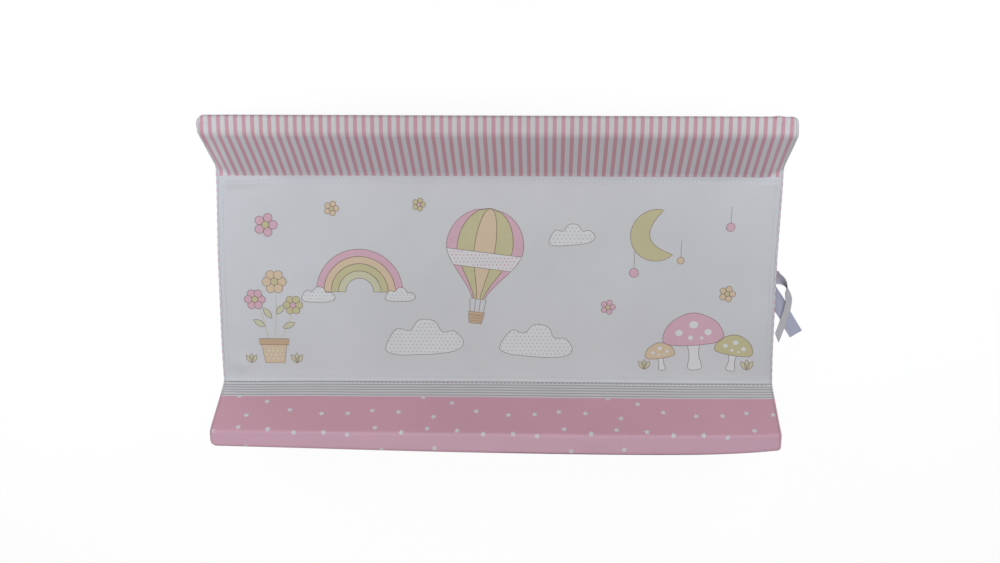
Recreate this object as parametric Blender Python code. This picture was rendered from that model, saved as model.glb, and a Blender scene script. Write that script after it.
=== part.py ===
"""Changing mat with a stiffened base: a flat foam pad between two raised foam bolsters, in a sewn film cover.

The mat lies on its underside. +X runs along its length, +Y is towards the striped back bolster and +Z is up.
The origin is the middle of the underside. Lengths are in metres and angles in degrees.
"""

import math

import bmesh
import bpy
import numpy as np
from mathutils import Vector

# Driving dimensions of the mat
MAT_LENGTH = 0.800
MAT_WIDTH = 0.460
FILM_THICKNESS = 0.0006
BOARD_THICKNESS = 0.003
PAD_THICKNESS = 0.020
BOLSTER_HEIGHT = 0.095
RIDGE_WIDTH = 0.0255
SLOPE_RUN = 0.0485
SEAT_CLEARANCE = 0.0003

# Rounding of the film over the foam
END_ROLL = 0.0035
CORNER_SPARE = 0.001
OUTER_SPARE = 0.0025
OUTER_ROUND = END_ROLL + OUTER_SPARE
RIDGE_ROUND = 0.011
FOOT_ROUND = 0.010
BOARD_CORNER = 0.012
FOAM_EDGE_ROUND = 0.004

# Soft forms: the pad's crown, the sewn channels beside it and the swell of the front bolster
PAD_CROWN = 0.0025
CHANNEL_DEPTH = 0.0018
CHANNEL_WIDTH = 0.0035
BACK_CHANNEL_INSET = 0.0175
FRONT_CHANNEL_INSET = 0.0055
FRONT_SWELL = 0.0085
SWELL_SKEW_SHARE = 0.6
SWELL_POWER = 4
FADE_POWER = 8
# The film spans the hollow foot of the back slope: how far it draws the foot in, and where that fades by the ends
FOOT_DRAW = 0.0103
FOOT_FADE = 0.025

# Two ribbon ties, sewn into the seam at the foot of the right end
RIBBON_WIDTH = 0.020
RIBBON_THICKNESS = 0.0006
TIE_HEM = 0.0035
TIE_TUCK = 0.0008
TIE_SPACING = 0.0006
HINGE_GAP = 0.0005
LOWER_TIE_LENGTH = 0.064
LOWER_TIE_HEADING = -57.7
LOWER_TIE_BOW = 0.0012
BOW_SHARE = 0.6
UPPER_TIE_ROOT_SHARE = -0.10
UPPER_TIE_CUT_SHARE = 0.10
CUT_POWER = 6
FOLD_SHARE = 0.14

# Steps along the arcs and along the mat, and the angle from which an edge is drawn sharp
ARC_STEPS = 4
ROLL_STEPS = 4
LENGTH_STEPS = 12
TIE_STEPS = 26
TIE_FLAT_STEPS = 8
SIDE_STEPS = 10
SLOPE_STEPS = 8
FADE_STEPS = 3
FOLD_STEPS = 400
SHARP_ANGLE = 40

# Where the panel's section has points: round each channel in channel widths, and between them in half widths
CHANNEL_STEP_SHARES = (-1.6, -0.8, 0, 0.8, 1.6)
PANEL_STEP_SHARES = (-0.66, -0.33, 0.33, 0.66)
EDGE_SHARE = 0.004

# Heights and half widths that follow from the sizes above
BOARD_BASE = FILM_THICKNESS + SEAT_CLEARANCE
FOAM_BASE = BOARD_BASE + BOARD_THICKNESS + SEAT_CLEARANCE
COVER_GAP = FILM_THICKNESS + SEAT_CLEARANCE
PANEL_TOP = FOAM_BASE + PAD_THICKNESS + COVER_GAP
RIDGE_TOP = FOAM_BASE + BOLSTER_HEIGHT + COVER_GAP
HALF_LENGTH = MAT_LENGTH / 2
HALF_WIDTH = MAT_WIDTH / 2
RIDGE_INNER = HALF_WIDTH - RIDGE_WIDTH
SLOPE_FOOT = RIDGE_INNER - SLOPE_RUN
BOTTOM_ROUND = END_ROLL + CORNER_SPARE
PANEL_HALF_LENGTH = HALF_LENGTH - END_ROLL - SEAT_CLEARANCE
BACK_CHANNEL = SLOPE_FOOT - BACK_CHANNEL_INSET
FRONT_CHANNEL = -(SLOPE_FOOT - FRONT_CHANNEL_INSET)
TIE_HINGE = HALF_LENGTH + TIE_HEM
UPPER_TIE_ROOT = UPPER_TIE_ROOT_SHARE * RIBBON_WIDTH
LOWER_TIE_SPREAD = RIBBON_WIDTH / 2 / math.cos(math.radians(LOWER_TIE_HEADING))
LOWER_TIE_ROOT = UPPER_TIE_ROOT - RIBBON_WIDTH / 2 - TIE_SPACING - LOWER_TIE_SPREAD

# Corners of the cover's section, as (y, z), going up the back, over the top and round below
SKIN_CORNERS = [
    (HALF_WIDTH, 0),
    (HALF_WIDTH, RIDGE_TOP),
    (RIDGE_INNER, RIDGE_TOP),
    (SLOPE_FOOT, PANEL_TOP),
    (-SLOPE_FOOT, PANEL_TOP),
    (-RIDGE_INNER, RIDGE_TOP),
    (-HALF_WIDTH, RIDGE_TOP),
    (-HALF_WIDTH, 0),
]
SKIN_ROUNDS = [
    BOTTOM_ROUND, OUTER_ROUND, RIDGE_ROUND, FOOT_ROUND,
    FOOT_ROUND, RIDGE_ROUND, OUTER_ROUND, BOTTOM_ROUND,
]

# The upper tie's course from its hinge, in ribbon widths: where the folded line runs, seen from above
UPPER_COURSE_SHARES = [
    (0.0, UPPER_TIE_ROOT_SHARE), (0.35, -0.24), (0.62, -0.45), (0.88, -0.79), (1.13, -1.19),
    (1.27, -1.60), (1.27, -2.10), (1.19, -2.60), (1.05, -3.10), (0.83, -3.85), (0.49, -4.91),
]
# How its two halves lean along the course, in degrees from the outer side: (share of length, outer, inner)
UPPER_LEAN_SHARES = [
    (0.0, 0, 180), (0.05, 24, 165), (0.11, 54, 134), (0.17, 82, 104), (0.22, 112, 132),
    (0.28, 146, 160), (0.36, 164, 176), (0.50, 170, 180), (1.0, 172, 180),
]
# Where the upper tie has points across its width, and how far it is raised to clear the lower tie along its length
ACROSS_SHARES = (-1, -0.7, -0.42, -0.2, -0.13, -0.065, 0, 0.065, 0.13, 0.2, 0.42, 0.7, 1)
RAISED_SHARES = [(0, 0), (0.06, 0), (0.12, 0.4), (0.2, 0.8), (0.26, 1), (0.8, 1), (0.9, 0.75), (1, 0.5)]
NEAR_SHARE = 0.01


def smooth(value):
    """0 below 0, 1 above 1 and an even S between them."""
    share = np.clip(value, 0, 1)
    return share * share * (3 - 2 * share)


def inset_corners(corners, insets):
    """The corners of the polygon after each side, from corner i to the next, moves inwards by insets[i]."""
    points = np.array(corners, float)
    along = np.roll(points, -1, axis=0) - points
    along /= np.linalg.norm(along, axis=1)[:, None]
    inward = np.stack([-along[:, 1], along[:, 0]], axis=1)
    moved = points + inward * np.array(insets, float)[:, None]
    found = []
    for i in range(len(points)):
        before = i - 1
        step = moved[i] - moved[before]
        cross = along[before][0] * along[i][1] - along[before][1] * along[i][0]
        reach = (step[0] * along[i][1] - step[1] * along[i][0]) / cross
        found.append(moved[before] + along[before] * reach)
    return np.array(found)


def corner_arcs(corners, radii):
    """One arc of points for each corner, tangent to both of its sides."""
    arcs = []
    count = len(corners)
    for i in range(count):
        corner = Vector(corners[i])
        back = (Vector(corners[i - 1]) - corner).normalized()
        ahead = (Vector(corners[(i + 1) % count]) - corner).normalized()
        half = back.angle(ahead) / 2
        reach = radii[i] / math.tan(half)
        centre = corner + (back + ahead).normalized() * (radii[i] / math.sin(half))
        first = corner + back * reach - centre
        last = corner + ahead * reach - centre
        turn = first.angle_signed(last)
        points = []
        for step in range(ARC_STEPS + 1):
            angle = -turn * step / ARC_STEPS
            points.append((
                centre.x + first.x * math.cos(angle) - first.y * math.sin(angle),
                centre.y + first.x * math.sin(angle) + first.y * math.cos(angle),
            ))
        arcs.append(np.array(points))
    return arcs


def between(start, end, shares):
    """Points on the straight line from start to end, at these shares of it."""
    start, end = np.array(start), np.array(end)
    return start + (end - start) * np.array(shares)[:, None]


def even(count):
    """Shares that part a line into count + 1 equal stretches."""
    return np.arange(1, count + 1) / (count + 1)


def skin_arcs(inset):
    """The arcs of the cover's section when all of it is drawn in by inset: the hollow foot opens as it goes."""
    corners = inset_corners(SKIN_CORNERS, [inset] * len(SKIN_CORNERS))
    radii = [radius - inset for radius in SKIN_ROUNDS]
    radii[3] = radii[4] = FOOT_ROUND + inset
    return corner_arcs(corners, radii)


def shaped(points):
    """Lays the soft forms over points of the plain mat.

    The pad's crown falls to nothing at its edges as a parabola each way, the channels are two narrow bell-shaped
    furrows along it, and the front bolster swells outwards along its length, most to the right of the middle. The
    film is drawn straight from the back ridge to its channel, so the slope's foot moves in, except at the ends.
    """
    x, y, z = np.array(points, float).T
    place = x / HALF_LENGTH
    along = 1 - place**2
    across = np.clip(1 - (y / SLOPE_FOOT) ** 2, 0, 1)
    depth = np.clip((z - FOAM_BASE) / PAD_THICKNESS, 0, 1)
    fade = 1 - place**FADE_POWER
    on_pad = np.abs(y) < SLOPE_FOOT
    from_end = (HALF_LENGTH - END_ROLL - np.abs(x)) / (FOOT_FADE - END_ROLL)
    drawn = FOOT_DRAW * np.interp(y, [BACK_CHANNEL, SLOPE_FOOT, RIDGE_INNER], [0, 1, 0]) * np.clip(from_end, 0, 1)
    furrows = np.exp(-(((y - drawn - BACK_CHANNEL) / CHANNEL_WIDTH) ** 2))
    furrows += np.exp(-(((y - FRONT_CHANNEL) / CHANNEL_WIDTH) ** 2))
    lift = PAD_CROWN * along * across - CHANNEL_DEPTH * furrows * fade * on_pad
    outer = np.clip((-y - RIDGE_INNER) / RIDGE_WIDTH, 0, 1)
    full = (1 - place**SWELL_POWER) * (1 + SWELL_SKEW_SHARE * place)
    swell = FRONT_SWELL * full * outer * smooth(z * 2 / RIDGE_TOP)
    return np.stack([x, y - swell - drawn, z + lift * depth], axis=1)


def length_stations(end):
    """Stations along the mat from -end to end: even ones, and closer ones by the ends where the drawn foot fades."""
    fading = np.linspace(HALF_LENGTH - FOOT_FADE, end, FADE_STEPS + 1)[:-1]
    return np.sort(np.concatenate([np.linspace(-end, end, LENGTH_STEPS + 1), -fading, fading]))


def new_object(name, vertices, faces, material):
    mesh = bpy.data.meshes.new(name)
    mesh.from_pydata([tuple(vertex) for vertex in vertices], [], [tuple(face) for face in faces])
    mesh.update()
    obj = bpy.data.objects.new(name, mesh)
    obj.data.materials.append(material)
    bpy.context.scene.collection.objects.link(obj)
    for polygon in mesh.polygons:
        polygon.use_smooth = True
    mesh.set_sharp_from_angle(angle=math.radians(SHARP_ANGLE))
    return obj


def grid_faces(rows, columns, closed=False):
    """Quads over a grid of points stored row by row; closed joins each row's last point to its first."""
    faces = []
    for row in range(rows - 1):
        for column in range(columns if closed else columns - 1):
            following = (column + 1) % columns
            faces.append((
                row * columns + column,
                row * columns + following,
                (row + 1) * columns + following,
                (row + 1) * columns + column,
            ))
    return faces


def thicken(obj, thickness, offset):
    solidify = obj.modifiers.new("Thickness", "SOLIDIFY")
    solidify.thickness = thickness
    solidify.offset = offset
    solidify.use_even_offset = True


def film_panel(name, run, material):
    """A panel of cover film: the run is its section, and it goes from one end seam to the other."""
    stations = length_stations(PANEL_HALF_LENGTH)
    points = [(x, y, z) for x in stations for y, z in run]
    faces = grid_faces(len(stations), len(run))
    obj = new_object(name, shaped(points), faces, material)
    thicken(obj, FILM_THICKNESS, -1)
    return obj


def end_panel(name, side, material):
    """The end's panel of film: its rim rolls over the edge of the mat, all the way round, to meet the others."""
    points = []
    rows = 0
    for step in range(ROLL_STEPS + 1):
        turn = math.radians(90) * step / ROLL_STEPS
        x = HALF_LENGTH - END_ROLL + END_ROLL * math.sin(turn)
        ring = np.concatenate(skin_arcs(END_ROLL * (1 - math.cos(turn))))
        points += [(side * x, y, z) for y, z in ring]
        rows += 1
    columns = len(points) // rows
    faces = grid_faces(rows, columns, closed=True)
    faces.append(tuple(range((rows - 1) * columns, rows * columns)))
    if side < 0:
        faces = [tuple(reversed(face)) for face in faces]
    obj = new_object(name, shaped(points), faces, material)
    thicken(obj, FILM_THICKNESS, -1)
    return obj


def foam_block(name, corners, insets, radii, material, extra_columns):
    """A block of foam: its section is drawn in at both ends, on its outer sides, to follow the rolled rim."""
    end = HALF_LENGTH - COVER_GAP
    inner_roll = END_ROLL - COVER_GAP
    rows = []
    for step in range(ROLL_STEPS + 1):
        turn = math.radians(90) * (1 - step / ROLL_STEPS)
        rows.append((-end + inner_roll - inner_roll * math.sin(turn), inner_roll * (1 - math.cos(turn))))
    for x in length_stations(end - inner_roll)[1:-1]:
        rows.append((x, 0))
    rows += [(-x, drawn_in) for x, drawn_in in reversed(rows[: ROLL_STEPS + 1])]
    points = []
    for x, drawn_in in rows:
        moved = [inset + drawn_in * (inset >= COVER_GAP) for inset in insets]
        ring_corners = inset_corners(corners, moved)
        arcs = corner_arcs(ring_corners, [max(radius - drawn_in, CORNER_SPARE / 2) for radius in radii])
        ring = []
        for index, arc in enumerate(arcs):
            ring.extend(arc)
            following = arcs[(index + 1) % len(arcs)]
            ring.extend(between(arc[-1], following[0], extra_columns[index]))
        points += [(x, y, z) for y, z in ring]
    columns = len(points) // len(rows)
    faces = grid_faces(len(rows), columns, closed=True)
    faces.append(tuple(reversed(range(columns))))
    faces.append(tuple(range((len(rows) - 1) * columns, len(rows) * columns)))
    return new_object(name, shaped(points), faces, material)


def bolster_foam(name, side, material):
    """A long wedge of foam with an upright butt face, standing on the board beside the pad."""
    corners = [
        (SLOPE_FOOT, FOAM_BASE), (HALF_WIDTH, FOAM_BASE), (HALF_WIDTH, RIDGE_TOP),
        (RIDGE_INNER, RIDGE_TOP), (SLOPE_FOOT, PANEL_TOP),
    ]
    insets = [0, COVER_GAP, COVER_GAP, COVER_GAP, SEAT_CLEARANCE / 2]
    radii = [CORNER_SPARE, FOAM_EDGE_ROUND, OUTER_ROUND - COVER_GAP, RIDGE_ROUND - COVER_GAP, CORNER_SPARE]
    extra = [[], even(SIDE_STEPS - 1), even(2), even(SLOPE_STEPS - 1), []]
    if side < 0:
        corners = [(-y, z) for y, z in reversed(corners)]
        insets = [insets[(3 - i) % len(insets)] for i in range(len(insets))]
        radii = list(reversed(radii))
        extra = [extra[(3 - i) % len(extra)] for i in range(len(extra))]
    return foam_block(name, corners, insets, radii, material, extra)


def pad_foam(name, material):
    """The flat pad between the bolsters; its top follows the crown and the two channels."""
    corners = [
        (-SLOPE_FOOT, FOAM_BASE), (SLOPE_FOOT, FOAM_BASE),
        (SLOPE_FOOT, PANEL_TOP), (-SLOPE_FOOT, PANEL_TOP),
    ]
    insets = [0, SEAT_CLEARANCE / 2, COVER_GAP, SEAT_CLEARANCE / 2]
    radii = [CORNER_SPARE] * 4
    return foam_block(name, corners, insets, radii, material, [[], [], panel_shares(), []])


def panel_shares():
    """Where the panel's section has points, from the back foot to the front one: close together in a channel."""
    places = [0]
    for channel in (BACK_CHANNEL, FRONT_CHANNEL):
        for step in CHANNEL_STEP_SHARES:
            places.append(channel + step * CHANNEL_WIDTH)
    for step in PANEL_STEP_SHARES:
        places.append(step * SLOPE_FOOT)
    shares = (SLOPE_FOOT - np.array(sorted(places, reverse=True))) / (2 * SLOPE_FOOT)
    return shares[(shares > EDGE_SHARE) & (shares < 1 - EDGE_SHARE)]


def top_run():
    """The top cover's section, from the back seam over both ridges to the front seam."""
    arcs = skin_arcs(0)
    flat = between((SLOPE_FOOT, PANEL_TOP), (-SLOPE_FOOT, PANEL_TOP), panel_shares())
    flat = flat[(flat[:, 0] < arcs[3][-1][0]) & (flat[:, 0] > arcs[4][0][0])]
    return np.concatenate([
        arcs[1],
        between(arcs[1][-1], arcs[2][0], even(1)),
        arcs[2],
        between(arcs[2][-1], arcs[3][0], even(SLOPE_STEPS - 1)),
        arcs[3],
        flat,
        arcs[4],
        between(arcs[4][-1], arcs[5][0], even(SLOPE_STEPS - 1)),
        arcs[5],
        between(arcs[5][-1], arcs[6][0], even(1)),
        arcs[6],
    ])


def side_run(side):
    """A long side's section, one clearance short of the seams above and below it."""
    low = (side * HALF_WIDTH, BOTTOM_ROUND + SEAT_CLEARANCE)
    high = (side * HALF_WIDTH, RIDGE_TOP - OUTER_ROUND - SEAT_CLEARANCE)
    run = np.concatenate([[low], between(low, high, even(SIDE_STEPS - 1)), [high]])
    return run if side > 0 else run[::-1]


def underside_run():
    """The underside's section, with the rounds that turn up to the side seams."""
    arcs = skin_arcs(0)
    return np.concatenate([arcs[7], arcs[0]])


def base_board(material):
    """A sheet of hardboard with rounded corners, one film thickness above the floor."""
    half_x = HALF_LENGTH - BOTTOM_ROUND
    half_y = HALF_WIDTH - BOTTOM_ROUND
    outline = np.concatenate(corner_arcs(
        [(-half_x, -half_y), (half_x, -half_y), (half_x, half_y), (-half_x, half_y)],
        [BOARD_CORNER] * 4,
    ))
    build = bmesh.new()
    face = build.faces.new([build.verts.new((x, y, BOARD_BASE)) for x, y in outline])
    raised = bmesh.ops.extrude_face_region(build, geom=[face])
    top = [item for item in raised["geom"] if isinstance(item, bmesh.types.BMVert)]
    bmesh.ops.translate(build, verts=top, vec=(0, 0, BOARD_THICKNESS))
    bmesh.ops.recalc_face_normals(build, faces=build.faces)
    mesh = bpy.data.meshes.new("base_board")
    build.to_mesh(mesh)
    build.free()
    obj = bpy.data.objects.new("base_board", mesh)
    obj.data.materials.append(material)
    bpy.context.scene.collection.objects.link(obj)
    return obj


def lower_tie_edges():
    """The two long edges of the lower tie's tail, from its hinge line to its square end, as (x, y)."""
    heading = np.array([math.cos(math.radians(LOWER_TIE_HEADING)), math.sin(math.radians(LOWER_TIE_HEADING))])
    beside = np.array([-heading[1], heading[0]]) * RIBBON_WIDTH / 2
    root = np.array([TIE_HINGE, LOWER_TIE_ROOT])
    end = root + heading * LOWER_TIE_LENGTH
    spread = np.array([0, LOWER_TIE_SPREAD])
    share = np.linspace(0, 1, TIE_FLAT_STEPS + 1)[:, None]
    bow = LOWER_TIE_BOW * np.sin(math.pi * np.clip(share / BOW_SHARE, 0, 1)) * beside / np.linalg.norm(beside)
    edges = []
    for sign in (1, -1):
        start = root + sign * spread
        edges.append(start + (end + sign * beside - start) * share + bow)
    return edges


def place_at_hinge(obj, y):
    """Moves the object's origin to its hinge axis and leaves its shape where it was."""
    pivot = Vector((TIE_HINGE, y, RIBBON_THICKNESS / 2))
    for vertex in obj.data.vertices:
        vertex.co -= pivot
    obj.location = pivot


def lower_tie(material):
    """A flat tail of ribbon that lies on the floor, slanting away from the mat."""
    far, near = lower_tie_edges()
    points = []
    for one, other in zip(near, far):
        for share in (0, 1 / 2, 1):
            x, y = one + (other - one) * share
            points.append((x, y, RIBBON_THICKNESS / 2))
    obj = new_object("lower_tie_tail", points, grid_faces(len(far), 3), material)
    place_at_hinge(obj, LOWER_TIE_ROOT)
    thicken(obj, RIBBON_THICKNESS, 0)
    return obj


def course_at(lengths):
    """Points on a smooth curve through the upper tie's course, at these shares of its length."""
    knots = np.array(UPPER_COURSE_SHARES) * RIBBON_WIDTH
    steps = np.linalg.norm(np.diff(knots, axis=0), axis=1)
    at = np.concatenate([[0], np.cumsum(steps)]) / steps.sum()
    slopes = np.gradient(knots, at, axis=0)
    lengths = np.clip(lengths, 0, 1)
    index = np.clip(np.searchsorted(at, lengths) - 1, 0, len(at) - 2)
    span = at[index + 1] - at[index]
    t = ((lengths - at[index]) / span)[..., None]
    span = span[..., None]
    return (
        knots[index] * (2 * t**3 - 3 * t**2 + 1)
        + slopes[index] * span * (t**3 - 2 * t**2 + t)
        + knots[index + 1] * (3 * t**2 - 2 * t**3)
        + slopes[index + 1] * span * (t**3 - t**2)
    )


def upper_tie(material):
    """A tail of ribbon that turns a corner: it folds along its middle line, stands up, and lies over to the mat.

    Across the ribbon the section's slope angle passes smoothly from the inner half's lean to the outer half's, within
    a short stretch at the fold, and the section is the running sum of that direction times the ribbon's half width.
    """
    across = np.array(ACROSS_SHARES, float)
    lengths = np.linspace(0, 1, TIE_STEPS + 1)[:, None] * np.ones(len(across))
    lengths = lengths * (1 - UPPER_TIE_CUT_SHARE * np.abs(across) * lengths**CUT_POWER)
    table = np.array(UPPER_LEAN_SHARES, float).T
    outer = np.radians(np.interp(lengths, table[0], table[1]))
    inner = np.radians(np.interp(lengths, table[0], table[2]) - 180)
    fine = np.linspace(-1, 1, FOLD_STEPS + 1)
    weight = smooth((fine / FOLD_SHARE + 1) / 2)
    middle = len(fine) // 2
    sideways = np.zeros(lengths.shape)
    upwards = np.zeros(lengths.shape)
    for index in np.ndindex(lengths.shape):
        slope = inner[index] + (outer[index] - inner[index]) * weight
        run = np.concatenate([[0], np.cumsum((np.cos(slope[1:]) + np.cos(slope[:-1])) / 2)])
        rise = np.concatenate([[0], np.cumsum((np.sin(slope[1:]) + np.sin(slope[:-1])) / 2)])
        scale = RIBBON_WIDTH / 2 / middle
        sideways[index] = np.interp(across[index[1]], fine, run - run[middle]) * scale
        upwards[index] = np.interp(across[index[1]], fine, rise - rise[middle]) * scale
    centre = course_at(lengths)
    ahead = course_at(lengths + NEAR_SHARE) - course_at(lengths - NEAR_SHARE)
    ahead /= np.linalg.norm(ahead, axis=-1)[..., None]
    beside = np.stack([-ahead[..., 1], ahead[..., 0]], axis=-1)
    lowest = upwards.min(axis=1)[:, None]
    raised = np.array(RAISED_SHARES, float).T
    over = (RIBBON_THICKNESS + SEAT_CLEARANCE) * np.interp(lengths[:, :1], raised[0], raised[1])
    rest = RIBBON_THICKNESS / 2 + over
    x = TIE_HINGE + centre[..., 0] + beside[..., 0] * sideways
    y = centre[..., 1] + beside[..., 1] * sideways
    x = np.maximum(x, TIE_HINGE)
    z = rest + upwards - lowest
    points = np.stack([x, y, z], axis=-1).reshape(-1, 3)
    faces = grid_faces(len(lengths), len(across))
    obj = new_object("upper_tie_tail", points, faces, material)
    place_at_hinge(obj, UPPER_TIE_ROOT)
    thicken(obj, RIBBON_THICKNESS, 0)
    return obj


def tie_root(name, middle, half_spread, material):
    """The sewn end of a tie: a flat hem that comes out of the seam under the end panel's rolled rim."""
    start, end = HALF_LENGTH - TIE_TUCK, TIE_HINGE - HINGE_GAP
    points = []
    for x in (start, end):
        for side in (-1, 1):
            points.append((x, middle + side * half_spread, RIBBON_THICKNESS / 2))
    obj = new_object(name, points, [(0, 2, 3, 1)], material)
    thicken(obj, RIBBON_THICKNESS, 0)
    return obj


def material(name, colour, roughness):
    made = bpy.data.materials.new(name)
    made.use_nodes = True
    shader = made.node_tree.nodes["Principled BSDF"]
    shader.inputs["Base Color"].default_value = (*colour, 1)
    shader.inputs["Roughness"].default_value = roughness
    shader.inputs["Metallic"].default_value = 0
    return made


def main():
    for obj in list(bpy.data.objects):
        bpy.data.objects.remove(obj, do_unlink=True)
    top_film = material("printed_film", (0.80, 0.79, 0.79), 0.38)
    striped_film = material("striped_film", (0.72, 0.48, 0.54), 0.38)
    underside_film = material("underside_film", (0.82, 0.82, 0.80), 0.45)
    foam = material("foam", (0.86, 0.84, 0.74), 0.95)
    hardboard = material("hardboard", (0.36, 0.23, 0.13), 0.75)
    ribbon = material("grosgrain", (0.42, 0.43, 0.49), 0.85)

    base_board(hardboard)
    pad_foam("pad_foam", foam)
    bolster_foam("back_bolster_foam", 1, foam)
    bolster_foam("front_bolster_foam", -1, foam)

    film_panel("top_cover", top_run(), top_film)
    film_panel("back_side_panel", side_run(1), striped_film)
    film_panel("front_side_panel", side_run(-1), striped_film)
    film_panel("underside_panel", underside_run(), underside_film)
    end_panel("right_end_panel", 1, striped_film)
    end_panel("left_end_panel", -1, striped_film)

    lower_tie(ribbon)
    upper_tie(ribbon)
    tie_root("lower_tie_root", LOWER_TIE_ROOT, LOWER_TIE_SPREAD, ribbon)
    tie_root("upper_tie_root", UPPER_TIE_ROOT, RIBBON_WIDTH / 2, ribbon)


main()
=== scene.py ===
# %% [markdown]
# # A padded changing mat
# The mat is a shallow trough: a flat foam pad on a stiff board, a foam bolster along each long side, and a
# cover of thin printed film sewn over all of it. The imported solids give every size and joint. This script
# lays the finished surfaces over them: film with its print and seams, thread, foam and two woven ribbon
# ties.

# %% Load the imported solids
import math

import bmesh
import bpy
import numpy as np
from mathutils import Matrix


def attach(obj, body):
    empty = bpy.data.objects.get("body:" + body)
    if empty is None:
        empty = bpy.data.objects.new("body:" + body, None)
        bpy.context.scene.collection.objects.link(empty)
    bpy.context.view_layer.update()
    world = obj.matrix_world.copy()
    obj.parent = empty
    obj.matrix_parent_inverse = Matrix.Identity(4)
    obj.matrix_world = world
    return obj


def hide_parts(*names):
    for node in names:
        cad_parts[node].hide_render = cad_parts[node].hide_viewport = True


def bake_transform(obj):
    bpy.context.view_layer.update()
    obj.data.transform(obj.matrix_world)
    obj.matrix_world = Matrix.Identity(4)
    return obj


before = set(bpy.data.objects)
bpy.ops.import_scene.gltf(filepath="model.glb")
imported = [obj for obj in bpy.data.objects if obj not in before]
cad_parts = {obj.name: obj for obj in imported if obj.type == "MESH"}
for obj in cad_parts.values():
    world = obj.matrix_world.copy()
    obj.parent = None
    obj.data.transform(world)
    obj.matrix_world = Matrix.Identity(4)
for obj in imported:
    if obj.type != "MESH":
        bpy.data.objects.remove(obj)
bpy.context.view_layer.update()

# %% [markdown]
# ## Camera
# The photograph was taken from straight above the mat's back edge, leaning a little towards the front. A
# long side of 800 mm fills 580 of 1000 pixels, which a 38 mm lens does from one and a half metres.

# %% Camera
LENS = 37.8
CAMERA_PLACE = (0.027, 0.258, 1.505)
CAMERA_TURN = (-10.11, 0.87, 0.19)

camera_data = bpy.data.cameras.new("camera")
camera_data.lens = LENS
camera_data.sensor_width = 36
camera = bpy.data.objects.new("camera", camera_data)
camera.location = CAMERA_PLACE
camera.rotation_euler = [math.radians(turn) for turn in CAMERA_TURN]
bpy.context.scene.collection.objects.link(camera)
bpy.context.scene.camera = camera
print("camera", camera.name, LENS, "mm")

# %% [markdown]
# ## Light and floor
# Plain studio light: an even sky, one wide warm lamp overhead, and a weak cool lamp beyond each end of the
# mat. The floor is white paper. To the camera it is mostly a steady white, with a little of its shading
# left in, so that the soft shadow beside the mat and under the ribbons stays.

# %% Light and floor
bpy.context.scene.view_settings.view_transform = "Standard"


def linear(red, green, blue):
    """A colour on the 0 to 255 screen scale as linear light.

    Above the toe that is ((c + 0.055) / 1.055) to the power 2.4, and below it c / 12.92.
    """
    values = np.array([red, green, blue]) / 255
    found = np.where(values > 0.04045, ((values + 0.055) / 1.055) ** 2.4, values / 12.92)
    return tuple(float(value) for value in found) + (1.0,)


def add_node(tree, kind, settings=None, **inputs):
    """Adds a shader node. An input's value may be a number, a colour or another node's output socket."""
    made = tree.nodes.new("ShaderNode" + kind)
    for key, value in (settings or {}).items():
        setattr(made, key, value)
    for key, value in inputs.items():
        name = key.replace("_", " ")
        numbered = name.startswith("in") and name[2:].isdigit()
        socket = made.inputs[int(name[2:]) if numbered else name]
        if isinstance(value, bpy.types.NodeSocket):
            tree.links.new(value, socket)
        else:
            socket.default_value = value
    return made


def calc(tree, operation, first, second=0.0, third=0.0):
    """One sum of a Math node on sockets or numbers."""
    return add_node(tree, "Math", {"operation": operation}, in0=first, in1=second, in2=third).outputs[0]


def rest_of(tree, share):
    """What a share leaves of 1."""
    return calc(tree, "SUBTRACT", 1.0, share)


def new_material(name):
    """A material with its node tree and its Principled BSDF."""
    made = bpy.data.materials.new(name)
    made.use_nodes = True
    return made, made.node_tree, made.node_tree.nodes["Principled BSDF"]


def seen_rays(tree):
    """1 for rays from the camera, from a gloss or through glass, and 0 for the rays that carry light."""
    path = tree.nodes.new("ShaderNodeLightPath")
    both = calc(tree, "MAXIMUM", path.outputs["Is Camera Ray"], path.outputs["Is Glossy Ray"])
    return calc(tree, "MAXIMUM", both, path.outputs["Is Transmission Ray"])


SKY_STRENGTH = 0.085
world = bpy.data.worlds.new("studio")
bpy.context.scene.world = world
world.use_nodes = True
tree = world.node_tree
tree.nodes.clear()
sky = add_node(tree, "Background", Color=(0.97, 0.98, 1.0, 1.0), Strength=SKY_STRENGTH)
white = add_node(tree, "Background", Color=(1.0, 1.0, 1.0, 1.0), Strength=1.0)
mix = add_node(tree, "MixShader", in0=seen_rays(tree), in1=sky.outputs[0], in2=white.outputs[0])
add_node(tree, "OutputWorld", Surface=mix.outputs[0])

# Each lamp has a name, a place, a size, a power in watts and a colour.
LAMPS = [
    ("overhead_lamp", (0.0, -0.10, 2.4), 1.5, 27.2, (1.0, 0.98, 0.95)),
    ("left_lamp", (-0.80, 0.21, 0.51), 0.50, 2.85, (0.82, 0.905, 1.0)),
    ("right_lamp", (0.75, 0.34, 0.52), 0.50, 2.4, (0.82, 0.905, 1.0)),
]
for name, place, size, power, colour in LAMPS:
    lamp = bpy.data.lights.new(name, "AREA")
    lamp.size = size
    lamp.energy = power
    lamp.color = colour
    holder = bpy.data.objects.new(name, lamp)
    holder.location = place
    towards = -np.array(place)
    holder.rotation_euler = (
        math.acos(-towards[2] / np.linalg.norm(towards)), 0, math.atan2(towards[1], towards[0]) - math.pi / 2,
    )
    bpy.context.scene.collection.objects.link(holder)

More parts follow.
